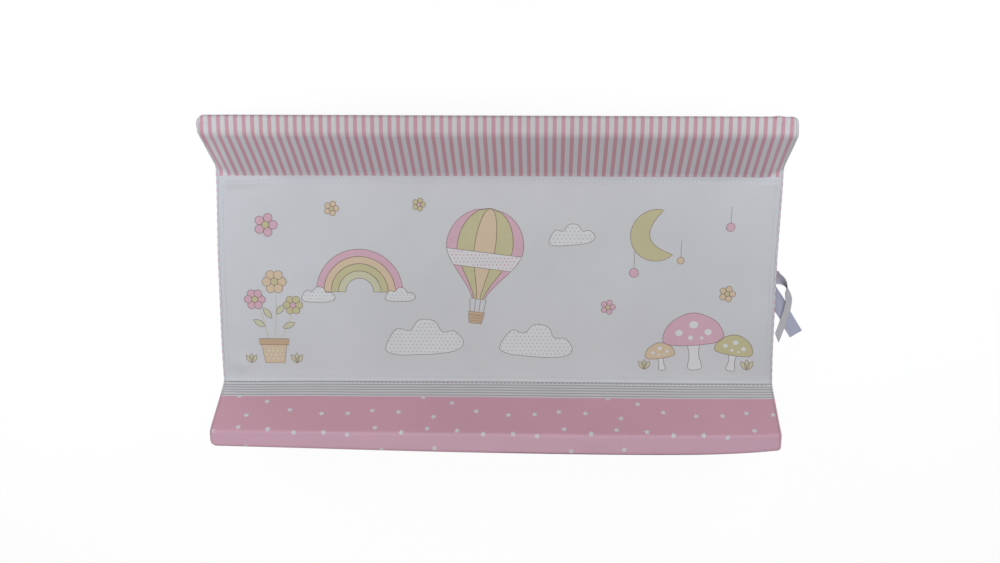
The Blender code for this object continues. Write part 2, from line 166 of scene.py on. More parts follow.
FLOOR_REACH = 4.0
FLOOR_DROP = 0.0004
PAPER_GLOW = 1.06
GLOW_SHARE = 0.86
floor_mesh = bpy.data.meshes.new("floor")
corners = np.array([[-1, -1], [1, -1], [1, 1], [-1, 1]]) * FLOOR_REACH
floor_mesh.from_pydata([(x, y, -FLOOR_DROP) for x, y in corners], [], [(0, 1, 2, 3)])
floor = bpy.data.objects.new("floor", floor_mesh)
bpy.context.scene.collection.objects.link(floor)
paper = bpy.data.materials.new("white_paper")
paper.use_nodes = True
tree = paper.node_tree
tree.nodes.clear()
diffuse = add_node(tree, "BsdfDiffuse", Color=(0.86, 0.86, 0.86, 1.0))
glow = add_node(tree, "Emission", Color=(1.0, 1.0, 1.0, 1.0), Strength=PAPER_GLOW)
share = calc(tree, "MULTIPLY", seen_rays(tree), GLOW_SHARE)
mix = add_node(tree, "MixShader", in0=share, in1=diffuse.outputs[0], in2=glow.outputs[0])
add_node(tree, "OutputMaterial", Surface=mix.outputs[0])
floor_mesh.materials.append(paper)
print("lamps", len(LAMPS), "and a floor of", 2 * FLOOR_REACH, "m")

# %% [markdown]
# ## The cover's section
# Cut across its length, the cover is one line: up over the back bolster, down its slope, across the pad and
# up the front. All of its corners are round, and the front bolster's are tighter. The line is worked out
# once, with the distance along it counted from the middle of the pad, so a place on the flat film has the
# coordinates u along the mat and v across it.

# %% The cover's section
HALF_LENGTH = 0.400
HALF_WIDTH = 0.230
RIDGE_INNER = 0.2045
SLOPE_FOOT = 0.156
PANEL_TOP = 0.0251
RIDGE_TOP = 0.1001
FOAM_BASE = 0.0042
END_ROLL = 0.0035
OUTER_ROUND = 0.004
RIDGE_ROUND = 0.011
FOOT_ROUND = 0.010
FRONT_RIDGE_INNER = 0.2065
FRONT_OUTER_ROUND = 0.0035
FRONT_RIDGE_ROUND = 0.006
SEAM_DROP = 0.006
BOTTOM_ROUND = 0.0045
SEAM_GAP = 0.0003
FILM = 0.0006
TINY = 1e-9
COVER_END = HALF_LENGTH - END_ROLL - SEAM_GAP
SIDE_TOP = RIDGE_TOP - SEAM_DROP


def rounded_path(corners, radii, straight, curved):
    """Points along a line of corners with the corners rounded.

    Each corner's arc touches both sides: it starts radius / tan(half the angle) before the corner, and its
    points are the start turned about the arc's centre. Straight stretches have a point every `straight`, and
    arcs every `curved`.
    """
    corners = np.array(corners, float)
    pieces = []
    last = corners[0]
    for corner, before, after, radius in zip(corners[1:-1], corners[:-2], corners[2:], radii):
        back = (before - corner) / np.linalg.norm(before - corner)
        ahead = (after - corner) / np.linalg.norm(after - corner)
        half = math.acos(float(np.clip(back @ ahead, -1, 1))) / 2
        centre = corner + (back + ahead) / np.linalg.norm(back + ahead) * radius / math.sin(half)
        first = corner + back * radius / math.tan(half) - centre
        end = corner + ahead * radius / math.tan(half) - centre
        turn = math.atan2(first[0] * end[1] - first[1] * end[0], first @ end)
        start = centre + first
        steps = max(1, round(float(np.linalg.norm(start - last)) / straight))
        pieces.append(last + (start - last) * (np.arange(steps) / steps)[:, None])
        count = max(3, round(abs(turn) * radius / curved))
        angles = turn * np.arange(count) / count
        pieces.append(centre + np.stack([
            first[0] * np.cos(angles) - first[1] * np.sin(angles),
            first[0] * np.sin(angles) + first[1] * np.cos(angles),
        ], axis=1))
        last = centre + end
    steps = max(1, round(float(np.linalg.norm(corners[-1] - last)) / straight))
    pieces.append(last + (corners[-1] - last) * (np.arange(steps + 1) / steps)[:, None])
    return np.concatenate(pieces)


TOP_CORNERS = [
    (HALF_WIDTH, SIDE_TOP), (HALF_WIDTH, RIDGE_TOP), (RIDGE_INNER, RIDGE_TOP), (SLOPE_FOOT, PANEL_TOP),
    (-SLOPE_FOOT, PANEL_TOP), (-FRONT_RIDGE_INNER, RIDGE_TOP), (-HALF_WIDTH, RIDGE_TOP),
    (-HALF_WIDTH, SIDE_TOP),
]
TOP_ROUNDS = [OUTER_ROUND, RIDGE_ROUND, FOOT_ROUND, FOOT_ROUND, FRONT_RIDGE_ROUND, FRONT_OUTER_ROUND]
SECTION_SPACING = 0.0020
SECTION_ARC_SPACING = 0.0008
section = rounded_path(TOP_CORNERS, TOP_ROUNDS, SECTION_SPACING, SECTION_ARC_SPACING)
gone = np.concatenate([[0], np.cumsum(np.linalg.norm(np.diff(section, axis=0), axis=1))])
section_v = np.interp(0.0, -section[:, 0], gone) - gone
COVER_BACK = float(section_v[0])
COVER_FRONT = float(section_v[-1])
FRONT_CREST = float(np.interp(FRONT_RIDGE_INNER, -section[:, 0], section_v))
BACK_CREST = float(np.interp(-RIDGE_INNER, -section[:, 0], section_v))
reach = [round(v * 1000, 1) for v in (COVER_FRONT, COVER_BACK)]
print("section", len(section), "points, from", reach[0], "to", reach[1], "mm")

# %% [markdown]
# ## Soft forms
# Foam and film never stay flat. The same soft forms are laid over every film panel, so seams still meet:
# the pad's crown, the two sewn channels, the back slope's foot that the tight film draws in, the front
# bolster's swell, corners drawn round where the film turns, and low ripples. Ripples are a sum of long
# cosine waves with fixed random directions, which is smooth, even and the same each time.

# %% Soft forms
PAD_CROWN = 0.0025
CHANNEL_DEPTH = 0.0018
CHANNEL_WIDTH = 0.0035
BACK_CHANNEL = 0.1385
FRONT_CHANNEL = -0.1505
FRONT_CHANNEL_SHARE = 0.35
SWELL_TERMS = (7.64, 4.74, 2.88, 6.04, 4.97)
CREST_SWELL = 0.36
CORNER_ROUNDS = {(-1, 1): (0.0125, 0), (1, 1): (0.0075, 1), (-1, -1): (0.0095, 1), (1, -1): (0.0050, 1)}
FOOT_DRAW = 0.0103
FOOT_FADE = 0.025
BACK_LEAN = 0.0016
# Each row has a place y across the mat in metres, and how far the film has slid along the mat there in mm.
SLID_ALONG = np.array([
    (-0.230, -0.4), (-0.2045, -0.3), (-0.195, 0.1), (-0.180, 0.8), (-0.168, 1.4), (-0.157, 1.7),
    (-0.146, 1.2), (-0.110, 0.2), (0.000, 0.2), (0.033, 0.3), (0.069, 1.2), (0.105, 2.2), (0.130, 2.8),
    (0.157, 2.8), (0.175, 2.3), (0.190, 2.3), (0.203, 1.9), (0.216, 0.8), (0.230, 0.0)]).T


def smooth(value):
    """0 below 0, 1 above 1 and between them the S curve 3 t squared - 2 t cubed."""
    share = np.clip(value, 0, 1)
    return share * share * (3 - 2 * share)


def ripples(a, b, longest, shortest, count, seed):
    """A smooth bumpy sheet over a and b, about -1 to 1: the sum of cosine waves with seeded directions."""
    chance = np.random.default_rng(seed)
    lengths = longest * (shortest / longest) ** chance.random(count)
    angles = chance.random(count) * 2 * math.pi
    phases = chance.random(count) * 2 * math.pi
    total = np.zeros(np.broadcast(a, b).shape)
    for length, angle, phase in zip(lengths, angles, phases):
        total += np.cos((a * math.cos(angle) + b * math.sin(angle)) * 2 * math.pi / length + phase)
    return total / math.sqrt(count)


def round_corners(x, y):
    """Draws the plan's corners round: near a corner each square shell about a centre becomes a circle.

    The rolled rims round the shells already, to the share `roll` of their size. On such a rounded part, a
    shell's size s solves (a - k s) squared + (b - k s) squared = (roll s) squared, with k = 1 - roll.
    """
    new_x, new_y = x.copy(), y.copy()
    for (side_x, side_y), (radius, rolled) in CORNER_ROUNDS.items():
        a = (side_x * x - (HALF_LENGTH - radius)) / radius
        b = (side_y * y - (HALF_WIDTH - radius)) / radius
        inside = (a > 0) & (b > 0)
        roll = rolled * END_ROLL / radius
        k = 1 - roll
        far = a * a + b * b
        root = np.sqrt(np.maximum((k * (a + b)) ** 2 - (2 * k * k - roll * roll) * far, 0))
        on_roll = np.minimum(a, b) > k * np.maximum(a, b)
        below = np.where(on_roll, np.maximum(k * (a + b) + root, TINY), 1)
        size = np.where(on_roll, far / below, np.maximum(a, b))
        keep = np.where(inside, size / np.maximum(np.sqrt(far), TINY), 1)
        new_x = np.where(inside, side_x * (HALF_LENGTH - radius + a * keep * radius), new_x)
        new_y = np.where(inside, side_y * (HALF_WIDTH - radius + b * keep * radius), new_y)
    return new_x, new_y


def foot_drawn(x, y):
    """How far the film draws the back slope's foot in: it spans the hollow there, except near the ends."""
    from_end = np.clip((HALF_LENGTH - END_ROLL - np.abs(x)) / (FOOT_FADE - END_ROLL), 0, 1)
    return FOOT_DRAW * np.interp(y, [BACK_CHANNEL, SLOPE_FOOT, RIDGE_INNER], [0, 1, 0]) * from_end


def slid(y):
    """How far the sewn cover has slid along the mat at y: most at the foot of the back slope."""
    return np.interp(y, SLID_ALONG[0], SLID_ALONG[1]) / 1000


def swell_at(x):
    """How far the front bolster's edge swells out.

    That is 1 - p squared, times a sum of powers of p, where p is the place along the mat from -1 to 1.
    """
    place = np.clip(x / HALF_LENGTH, -1, 1)
    return (1 - place**2) * sum(term * place**power for power, term in enumerate(SWELL_TERMS)) / 1000


def formed(points):
    """Lays the mat's soft forms over points of its plain shape.

    The pad rises by a parabola each way less a bell-shaped furrow at each channel. The front bolster swells
    out, its crest by a share of what its edge does. The back side leans in towards its foot.
    """
    x, y, z = points[..., 0], points[..., 1], points[..., 2]
    place = x / HALF_LENGTH
    across = np.clip(1 - (y / SLOPE_FOOT) ** 2, 0, 1)
    depth = np.clip((z - FOAM_BASE) / (PANEL_TOP - FOAM_BASE), 0, 1)
    drawn = foot_drawn(x, y)
    furrows = np.exp(-(((y - drawn - BACK_CHANNEL) / CHANNEL_WIDTH) ** 2))
    furrows += FRONT_CHANNEL_SHARE * np.exp(-(((y - FRONT_CHANNEL) / CHANNEL_WIDTH) ** 2))
    furrows *= (1 - np.clip(np.abs(place), 0, 1) ** 8) * (np.abs(y) < SLOPE_FOOT)
    lift = (PAD_CROWN * np.clip(1 - place**2, 0, 1) * across - CHANNEL_DEPTH * furrows) * depth
    outer = np.interp(-y, [SLOPE_FOOT, FRONT_RIDGE_INNER, HALF_WIDTH], [0, CREST_SWELL, 1])
    swell = swell_at(x) * outer * smooth(z * 2 / RIDGE_TOP)
    back = np.clip((y - RIDGE_INNER) / (HALF_WIDTH - RIDGE_INNER), 0, 1)
    lean = BACK_LEAN * back * (1 - smooth(z / SIDE_TOP))
    new_x, new_y = round_corners(x, y)
    return np.stack([new_x + slid(y), new_y - swell - drawn - lean, z + lift], axis=-1)


print("soft forms over a crown of", PAD_CROWN * 1000, "mm")

# %% [markdown]
# ## The cover's surface
# A place on the film is found in three moves: the section gives the plain point and its outward direction,
# the ripples push it in or out along that direction, and the soft forms are laid over the result. Print and
# stitches use the same function with a small height above the film, so they follow every ripple.

# %% The cover's surface
RIPPLE_HEIGHT = 0.00022
END_PUCKER = 0.00016
PUCKER_REACH = 0.013
RIDGE_FROM = 0.235
CREASE_RISE = 12
# Each crease has a height, a start and an end at (u, v), and a width.
CREASES = [
    (0.0026, (-0.393, 0.1300), (-0.270, 0.1395), 0.0042),
    (0.0008, (0.392, 0.1330), (0.300, 0.1395), 0.0040),
]
# Each mound has a height, a place at u and v, and a width along u and along v.
MOUNDS = [
    (0.0010, -0.365, -0.128, 0.022, 0.014),
    (0.0006, -0.350, 0.112, 0.030, 0.016),
    (0.0010, 0.365, -0.128, 0.022, 0.014),
    (0.0006, 0.350, 0.112, 0.030, 0.016),
    (0.0022, -0.373, -0.130, 0.012, 0.010),
]
GATHER = (0.0019, 0.3735, COVER_BACK - 0.007, 0.0052, 0.0075)


def section_at(v):
    """The plain section's point (y, z) and outward direction at the distance v across the film."""
    step = 0.0012
    rising = section_v[::-1]
    across, up = section[::-1, 0], section[::-1, 1]
    dy = np.interp(v + step, rising, across) - np.interp(v - step, rising, across)
    dz = np.interp(v + step, rising, up) - np.interp(v - step, rising, up)
    length = np.maximum(np.hypot(dy, dz), TINY)
    return np.interp(v, rising, across), np.interp(v, rising, up), -dz / length, dy / length


def bump_at(u, v, at_u, at_v, wide_u, wide_v):
    """A smooth mound, 1 at its middle: a bell of the distance in widths."""
    return np.exp(-(((u - at_u) / wide_u) ** 2) - ((v - at_v) / wide_v) ** 2)


def crease_at(u, v, start, end, width):
    """A soft fold of the film along the line from start to end, highest at the start and gone at the end."""
    along = (u - start[0]) / (end[0] - start[0])
    middle = start[1] + (end[1] - start[1]) * np.clip(along, 0, 1)
    inside = smooth(along * CREASE_RISE) * (1 - smooth(along))
    return inside * np.exp(-(((v - middle) / width) ** 2))


def cover_relief(u, v):
    """How far the film stands out at (u, v).

    Long ripples run everywhere, short puckers die away from the end seams, and a few folds and mounds sit
    where the film was gathered: two creases that leave the back channel, one gather at the back edge, and
    five mounds at the corners.
    """
    from_end = COVER_END - np.abs(u)
    from_edge = np.minimum(COVER_BACK - v, v - COVER_FRONT)
    waves = ripples(u, v, 0.23, 0.07, 26, 3) * RIPPLE_HEIGHT
    waves += ripples(u, v * 3.0, 0.30, 0.09, 12, 8) * RIPPLE_HEIGHT * smooth((np.abs(v) - RIDGE_FROM) / 0.02)
    waves *= smooth(from_edge / 0.030)
    pucker = ripples(v, u * 0.25, 0.026, 0.011, 14, 5) * END_PUCKER * np.exp(-from_end / PUCKER_REACH)
    folds = sum(height * crease_at(u, v, start, end, width) for height, start, end, width in CREASES)
    for height, *place in MOUNDS:
        folds += height * bump_at(u, v, *place)
    gather = GATHER[0] * bump_at(u, v, *GATHER[1:])
    return (waves + pucker + folds) * smooth(from_edge / 0.006) * smooth(from_end / 0.004) + gather


def plain_cover(u, v, height=0.0):
    """The cover's point at (u, v), with ripples and soft forms, `height` above the plain section."""
    y, z, out_y, out_z = section_at(v)
    push = cover_relief(u, v) + height
    return formed(np.stack([u, y + out_y * push, z + out_z * push], axis=-1))


def cover_at(u, v, height=0.0):
    """The cover's point and its true outward direction, from the cross product of steps along u and v."""
    step = 0.0008
    along = plain_cover(u + step, v) - plain_cover(u - step, v)
    across = plain_cover(u, v + step) - plain_cover(u, v - step)
    normal = np.cross(along, across)
    normal /= np.maximum(np.linalg.norm(normal, axis=-1, keepdims=True), 1e-12)
    return plain_cover(u, v) + normal * np.asarray(height)[..., None], normal


def grid_object(name, points, material, prints=None, flip=False, closed=False):
    """An object from a grid of points. `prints` holds each point's place on the flat film."""
    rows, columns = points.shape[:2]
    index = np.arange(rows * columns).reshape(rows, columns)
    right = np.roll(index, -1, axis=1) if closed else index[:, 1:]
    left = index if closed else index[:, :-1]
    faces = np.stack([left[:-1], right[:-1], right[1:], left[1:]], axis=-1).reshape(-1, 4)
    if flip:
        faces = faces[:, ::-1]
    if prints is not None:
        prints = prints.reshape(-1, 3)
    return mesh_object(name, points.reshape(-1, 3), faces, material, prints)


def mesh_object(name, points, faces, material, prints=None):
    """An object from whole arrays of points and faces, all faces with the same number of corners."""
    mesh = bpy.data.meshes.new(name)
    count, sides = faces.shape
    mesh.vertices.add(len(points))
    mesh.vertices.foreach_set("co", np.ascontiguousarray(points, dtype=np.float32).ravel())
    mesh.loops.add(count * sides)
    mesh.loops.foreach_set("vertex_index", np.ascontiguousarray(faces, dtype=np.int32).ravel())
    mesh.polygons.add(count)
    mesh.polygons.foreach_set("loop_start", np.arange(count, dtype=np.int32) * sides)
    mesh.polygons.foreach_set("use_smooth", np.ones(count, dtype=bool))
    mesh.update(calc_edges=True)
    if prints is not None:
        attribute = mesh.attributes.new("print", "FLOAT_VECTOR", "POINT")
        attribute.data.foreach_set("vector", np.ascontiguousarray(prints, dtype=np.float32).ravel())
    mesh.materials.append(material)
    obj = bpy.data.objects.new(name, mesh)
    bpy.context.scene.collection.objects.link(obj)
    return obj


def give_thickness(obj, thickness, offset=-1.0):
    """Film and ribbon have a thickness: a Solidify grows it inwards from the surface, and closes its rim."""
    solidify = obj.modifiers.new("thickness", "SOLIDIFY")
    solidify.thickness = thickness
    solidify.offset = offset


def even_then_close(half, spacing, near, reach):
    """Stations from -half to half, `spacing` apart, and closing to `near` within `reach` of the ends."""
    inner = half - reach
    count = max(2, round(2 * inner / spacing))
    middle = np.linspace(-inner, inner, count + 1)
    edge = inner + reach * np.sin(np.linspace(0, math.pi / 2, max(2, round(reach / near)) + 1))[1:]
    return np.concatenate([-edge[::-1], middle, edge])


def spaced(*stretches):
    """Stations in order through stretches (from, to, spacing)."""
    runs = [np.linspace(a, b, max(2, round(abs(b - a) / gap) + 1)) for a, b, gap in stretches]
    return np.unique(np.round(np.concatenate(runs), 7))


# The columns lie close on the round edges and in the channels, and wide on the flat parts between them.
stations = even_then_close(COVER_END, 0.0050, 0.0013, 0.03)
columns = spaced(
    (COVER_FRONT, -0.2560, 0.0012), (-0.2560, -0.2350, 0.0012), (-0.2350, -0.1660, 0.0042),
    (-0.1660, -0.1420, 0.0011), (-0.1420, 0.1300, 0.0052), (0.1300, 0.1660, 0.0011),
    (0.1660, 0.2350, 0.0042), (0.2350, 0.2560, 0.0015), (0.2560, COVER_BACK, 0.0013),
)[::-1]
print("cover grid", len(stations), "by", len(columns))

# %% [markdown]
# ## Film
# The cover is wipe-clean film with a satin face: not glossy, with a very fine grain and slightly uneven
# sheen. The print is in the colour. Stripes, pinstripes and bands follow the flat film's own coordinates,
# stored at each point as u, v and a third value: the film is drawn a little to the left halfway along, and
# that value carries it.

# %% Film
STRIPE_PITCH = 0.01151
STRIPE_START = -0.3916
STRIPE_SHARE = 0.455
STRIPES_END = 0.1457
SLOPE_SLANT = 0.0026
PINSTRIPE_START = -0.1541
PINSTRIPE_FIRST = -0.1556
PINSTRIPE_PITCH = 0.00468
PINK_START = -0.1821
# These two tables have rows of u in metres and a move in mm, and the third is all in metres.
BACK_PRINT_MOVED = np.array([
    (-0.39, 2.2), (-0.37, 2.1), (-0.33, 1.7), (-0.28, 1.3), (0.0, 1.1), (0.39, 0.9)]).T
FRONT_PRINT_MOVED = np.array([
    (-0.39, 1.3), (-0.35, 1.3), (-0.27, 0.05), (-0.14, -0.5), (0.0, -1.15), (0.14, -0.65), (0.28, -0.2),
    (0.35, -0.5), (0.39, -0.6)]).T
DRAWN_LEFT = np.array([
    (-0.39, 0.0), (-0.33, 0.0009), (-0.27, 0.0017), (-0.14, 0.0025), (0.0, 0.0026), (0.14, 0.0017),
    (0.27, 0.0003), (0.33, 0.0), (0.39, 0.0)]).T
SLANT_TOP = 0.2455
SLANT_RUN = 0.092
PRINT_EDGE = 0.00025
CREST_EDGE = 0.0016
DARK_EDGE_DEPTH = 0.0054
SEAM_WHITE_SHARE = 0.35

WHITE_FILM = linear(198, 198, 201)
SEAM_WHITE = linear(204, 206, 211)
STRIPE_WHITE = linear(204, 202, 202)
# The stripe white with a painted cool shade tint, for the back slope.
COOL_SHADED_SLOPE_WHITE = linear(203, 202, 206)
STRIPE_PINK = linear(197, 149, 161)
BAND_PINK = linear(206, 157, 170)
# A paler copy of the band pink for the front ridge: a painted sheen.
PAINTED_SHEEN_PINK = linear(210, 167, 184)
# A darker copy of the band pink for the middle of the front edge: painted shade where the film rolls under.
PAINTED_EDGE_SHADE_PINK = linear(146, 113, 127)
PIN_LIGHT = linear(209, 205, 206)
PIN_DARK = linear(163, 160, 161)


def cell(tree, value, start, pitch):
    """A value's distance from the nearest line of a row, in pitches: 0 on a line, 0.5 between two."""
    moved = calc(tree, "DIVIDE", calc(tree, "SUBTRACT", value, start), pitch)
    return calc(tree, "ABSOLUTE", calc(tree, "SUBTRACT", moved, calc(tree, "ROUND", moved)))


def edge(tree, value, at, soft):
    """0 below `at` and 1 above it, with a soft step."""
    return add_node(
        tree, "MapRange", {"interpolation_type": "SMOOTHSTEP"}, Value=value, in1=at - soft, in2=at + soft,
    ).outputs[0]


def mixed(tree, share, first, second):
    """The first colour where the share is 0 and the second where it is 1."""
    made = add_node(tree, "Mix", {"data_type": "RGBA"}, in0=share, in6=first, in7=second)
    return made.outputs[2]


def film_material(name, colour_at, roughness=0.46, grain=0.05):
    """Satin film: its print's colour, an uneven sheen and a very fine grain on the surface."""
    made, tree, shader = new_material(name)
    place = add_node(tree, "Attribute", {"attribute_name": "print"}).outputs["Vector"]
    parts = add_node(tree, "SeparateXYZ", Vector=place)
    colour = colour_at(tree, parts.outputs[0], parts.outputs[1], parts.outputs[2])
    coordinates = add_node(tree, "TexCoord").outputs["Object"]
    cloudy = add_node(tree, "TexNoise", Vector=coordinates, Scale=9.0, Detail=3.0, Roughness=0.55).outputs[0]
    tint = add_node(tree, "MapRange", Value=cloudy, in1=0.3, in2=0.7, in3=0.965, in4=1.02).outputs[0]
    shade = add_node(tree, "Mix", {"data_type": "RGBA", "blend_type": "MULTIPLY"}, in0=1.0, in6=colour)
    grey = add_node(tree, "CombineColor", in0=tint, in1=tint, in2=tint).outputs[0]
    tree.links.new(grey, shade.inputs[7])
    tree.links.new(shade.outputs[2], shader.inputs["Base Color"])
    sheen = add_node(tree, "TexNoise", Vector=coordinates, Scale=60.0, Detail=4.0, Roughness=0.6).outputs[0]
    smoother, rougher = roughness - 0.05, roughness + 0.06
    rough = add_node(tree, "MapRange", Value=sheen, in1=0.3, in2=0.7, in3=smoother, in4=rougher)
    tree.links.new(rough.outputs[0], shader.inputs["Roughness"])
    fine = add_node(tree, "TexNoise", Vector=coordinates, Scale=900.0, Detail=2.0, Roughness=0.5).outputs[0]
    bump = add_node(tree, "Bump", Strength=grain, Distance=0.0004, Height=fine)
    tree.links.new(bump.outputs[0], shader.inputs["Normal"])
    shader.inputs["IOR"].default_value = 1.46
    shader.inputs["Specular IOR Level"].default_value = 0.35
    return made


def cover_colour(tree, u, v, pulled):
    """The top print: stripes at the back, white, a pinstriped band at the foot of the front slope, then pink.

    The pink is a little paler from the front bolster's crest on, a painted sheen, and darker along the middle
    of the front edge, a painted shade where the film is pulled round it to the seam. The white between the
    back stripes has a painted cool shade tint on the back slope.
    """
    pink = rest_of(tree, edge(tree, cell(tree, pulled, STRIPE_START, STRIPE_PITCH), STRIPE_SHARE / 2, 0.03))
    # Painted cool shade tint: the white between the stripes is bluer on the back slope than on the ridge.
    between = mixed(tree, edge(tree, v, BACK_CREST, CREST_EDGE), COOL_SHADED_SLOPE_WHITE, STRIPE_WHITE)
    stripes = mixed(tree, pink, between, STRIPE_PINK)
    dark = rest_of(tree, edge(tree, cell(tree, v, PINSTRIPE_FIRST, PINSTRIPE_PITCH), 0.2, 0.08))
    pins = mixed(tree, dark, PIN_LIGHT, PIN_DARK)
    # Painted sheen: the band pink is paler from the front crest on.
    band = mixed(tree, edge(tree, v, FRONT_CREST, CREST_EDGE), PAINTED_SHEEN_PINK, BAND_PINK)
    # Painted shade: the band pink is darker along the middle of the front edge.
    middle_part = calc(tree, "MULTIPLY", edge(tree, u, 0.015, 0.09), rest_of(tree, edge(tree, u, 0.31, 0.05)))
    painted_edge_shade = rest_of(tree, edge(tree, v, COVER_FRONT + DARK_EDGE_DEPTH, 0.0007))
    band = mixed(tree, calc(tree, "MULTIPLY", middle_part, painted_edge_shade), band, PAINTED_EDGE_SHADE_PINK)
    lower = mixed(tree, edge(tree, v, PINK_START, PRINT_EDGE), band, pins)
    by_back = edge(tree, v, BACK_CHANNEL - 0.001, 0.0012)
    by_front = rest_of(tree, edge(tree, v, FRONT_CHANNEL + 0.007, 0.004))
    by_seams = calc(tree, "MULTIPLY", calc(tree, "MAXIMUM", by_back, by_front), SEAM_WHITE_SHARE)
    white = mixed(tree, by_seams, WHITE_FILM, SEAM_WHITE)
    middle = mixed(tree, edge(tree, v, PINSTRIPE_START, PRINT_EDGE), lower, white)
    return mixed(tree, edge(tree, v, STRIPES_END, PRINT_EDGE), middle, stripes)


def pulled_at(u, v):
    """The place that the print was at before the film was drawn on.

    Along the ridge the film is drawn up to 2.6 mm to the left, and down the slope its threads slant to the
    right.
    """
    drawn = np.interp(u, DRAWN_LEFT[0], DRAWN_LEFT[1])
    down = np.clip((SLANT_TOP - v) / SLANT_RUN, 0, 1)
    return u + drawn + slid(section_at(v)[0]) - SLOPE_SLANT * down * (v > 0)


def moved_across(u, v):
    """How far the print lies towards the front at (u, v), from a table in mm for each side of the pad."""
    back = np.interp(u, BACK_PRINT_MOVED[0], BACK_PRINT_MOVED[1])
    front = np.interp(u, FRONT_PRINT_MOVED[0], FRONT_PRINT_MOVED[1])
    return np.where(np.asarray(v) > 0, back, front) / 1000


printed_film = film_material("printed_film_satin", cover_colour)
print("film material", printed_film.name)

# %% [markdown]
# ## The top cover
# One piece of film, worked out on a grid of u and v. It is thin, so a Solidify gives it its thickness
# afterwards.

# %% The top cover
u_grid, v_grid = np.meshgrid(stations, columns, indexing="ij")
cover_points = plain_cover(u_grid, v_grid)
print_v = v_grid - foot_drawn(u_grid, section_at(v_grid)[0]) + moved_across(u_grid, v_grid)
cover_prints = np.stack([u_grid, print_v, pulled_at(u_grid, v_grid)], axis=-1)
top_film = grid_object("top_film", cover_points, printed_film, cover_prints)
give_thickness(top_film, FILM)
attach(top_film, "mat")
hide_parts("top_cover")
print("top film", len(top_film.data.polygons), "faces")

# %% [markdown]
# ## Ends and sides
# The ends and long sides are cut from one striped film. An end panel's rim rolls over the edge of the mat
# and is sewn to the top, so from above it shows as a narrow dashed line: each stripe, seen end on. The
# panel is ruled between the trough's outline above and the straight foot below, with the roll as a quarter
# circle at both.

# %% Striped film
SIDE_WHITE = linear(204, 203, 208)
SIDE_PINK = linear(200, 156, 171)
# Painted shade and a painted highlight, for the lines along the bolsters' rolled rims.
PAINTED_SHADE_FOLD = linear(142, 128, 136)
PAINTED_HIGHLIGHT_FOLD = linear(206, 196, 202)
SIDE_PITCH = 0.0112
RIM_RUN = END_ROLL * math.pi / 2
RIM_END_SHARE = 1.05
SEAM_SHARE = 0.28
LINE_SHARE = 0.46
# Where the painted highlight along the rim's fold begins, as a share of the rim.
HIGHLIGHT_SHARE = 0.74
BACK_RIM_FROM = 0.1600
FRONT_RIM_FROM = -0.1530
BETWEEN_STRIPES = STRIPE_START - STRIPE_PITCH / 2


def side_colour(tree, u, v, pulled):
    """Stripes that run up the panel, from their own coordinate."""
    pink = rest_of(tree, edge(tree, cell(tree, u, 0.0, SIDE_PITCH), 0.23, 0.03))
    return mixed(tree, pink, SIDE_WHITE, SIDE_PINK)


def end_colour(front_fold_light):
    """The end panel: stripes by the pad, white by the seam and a painted highlight along the fold at the
    edge, and the cover's print on the bolsters.

    In the colour's own sum, u is the place across the mat, v the place along the trough's outline, and the
    third value the depth below the seam. A line along the bolsters' rims is painted: painted shade on the
    back bolster and on the front bolster's fold at the left end, and a painted highlight on the front
    bolster's fold at the right end.
    """
    def colour_at(tree, u, v, down):
        on_rim = rest_of(tree, edge(tree, down, RIM_RUN * RIM_END_SHARE, 0.0004))
        seam = rest_of(tree, edge(tree, down, RIM_RUN * SEAM_SHARE, 0.0003))
        # White by the seam, and a painted highlight where the rim rolls over.
        seam_white_and_highlight = calc(tree, "MAXIMUM", seam, edge(tree, down, RIM_RUN * HIGHLIGHT_SHARE, 0.0003))
        pale = calc(tree, "MULTIPLY", seam_white_and_highlight, on_rim)
        stripes = mixed(tree, pale, side_colour(tree, u, v, down), SIDE_WHITE)
        # A painted line along the bolsters' rims: painted shade, or a painted highlight on the front bolster
        # at the right end.
        line = calc(tree, "MULTIPLY", edge(tree, down, RIM_RUN * LINE_SHARE, 0.0004), on_rim)
        tone = mixed(tree, edge(tree, v, 0.0, 0.01), front_fold_light, PAINTED_SHADE_FOLD)
        print_on = mixed(tree, line, cover_colour(tree, 0.0, v, BETWEEN_STRIPES), tone)
        on_back = edge(tree, v, BACK_RIM_FROM, 0.0006)
        on_bolster = calc(tree, "MAXIMUM", on_back, rest_of(tree, edge(tree, v, FRONT_RIM_FROM, 0.0006)))
        return mixed(tree, calc(tree, "MULTIPLY", on_rim, on_bolster), stripes, print_on)

    return colour_at


striped_film = film_material("striped_film_satin", side_colour)
# The left end has painted shade along its front fold, and the right end a painted highlight there.
end_looks = {-1: film_material("left_end_satin", end_colour(PAINTED_SHADE_FOLD)),
             1: film_material("right_end_satin", end_colour(PAINTED_HIGHLIGHT_FOLD))}
print("striped films", striped_film.name, *[look.name for look in end_looks.values()])

# %% [markdown]
# An end panel could be a flat sheet of film pulled over the mat's end. Here it is a grid: columns follow
# the trough's outline, and rows run down the quarter-round rim, the straight face and the rim at the foot.

# %% End panels
ROLL_ROWS = 7
FACE_ROWS = 26
OUTLINE_SPACING = 0.0040
OUTLINE_ARC_SPACING = 0.0014
FOOT_DRAWN_IN = 0.0165
FACE_PUFF = 0.0008
FACE_SLACK = 0.0005


def end_outline():
    """The trough's outline from the foot of the back to the foot of the front, with its inward directions."""
    low = BOTTOM_ROUND
    corners = [(HALF_WIDTH, low)] + TOP_CORNERS[1:-1] + [(-HALF_WIDTH, low)]
    path = rounded_path(corners, TOP_ROUNDS, OUTLINE_SPACING, OUTLINE_ARC_SPACING)
    ahead = np.gradient(path, axis=0)
    ahead /= np.linalg.norm(ahead, axis=1)[:, None]
    return path, np.stack([-ahead[:, 1], ahead[:, 0]], axis=1)


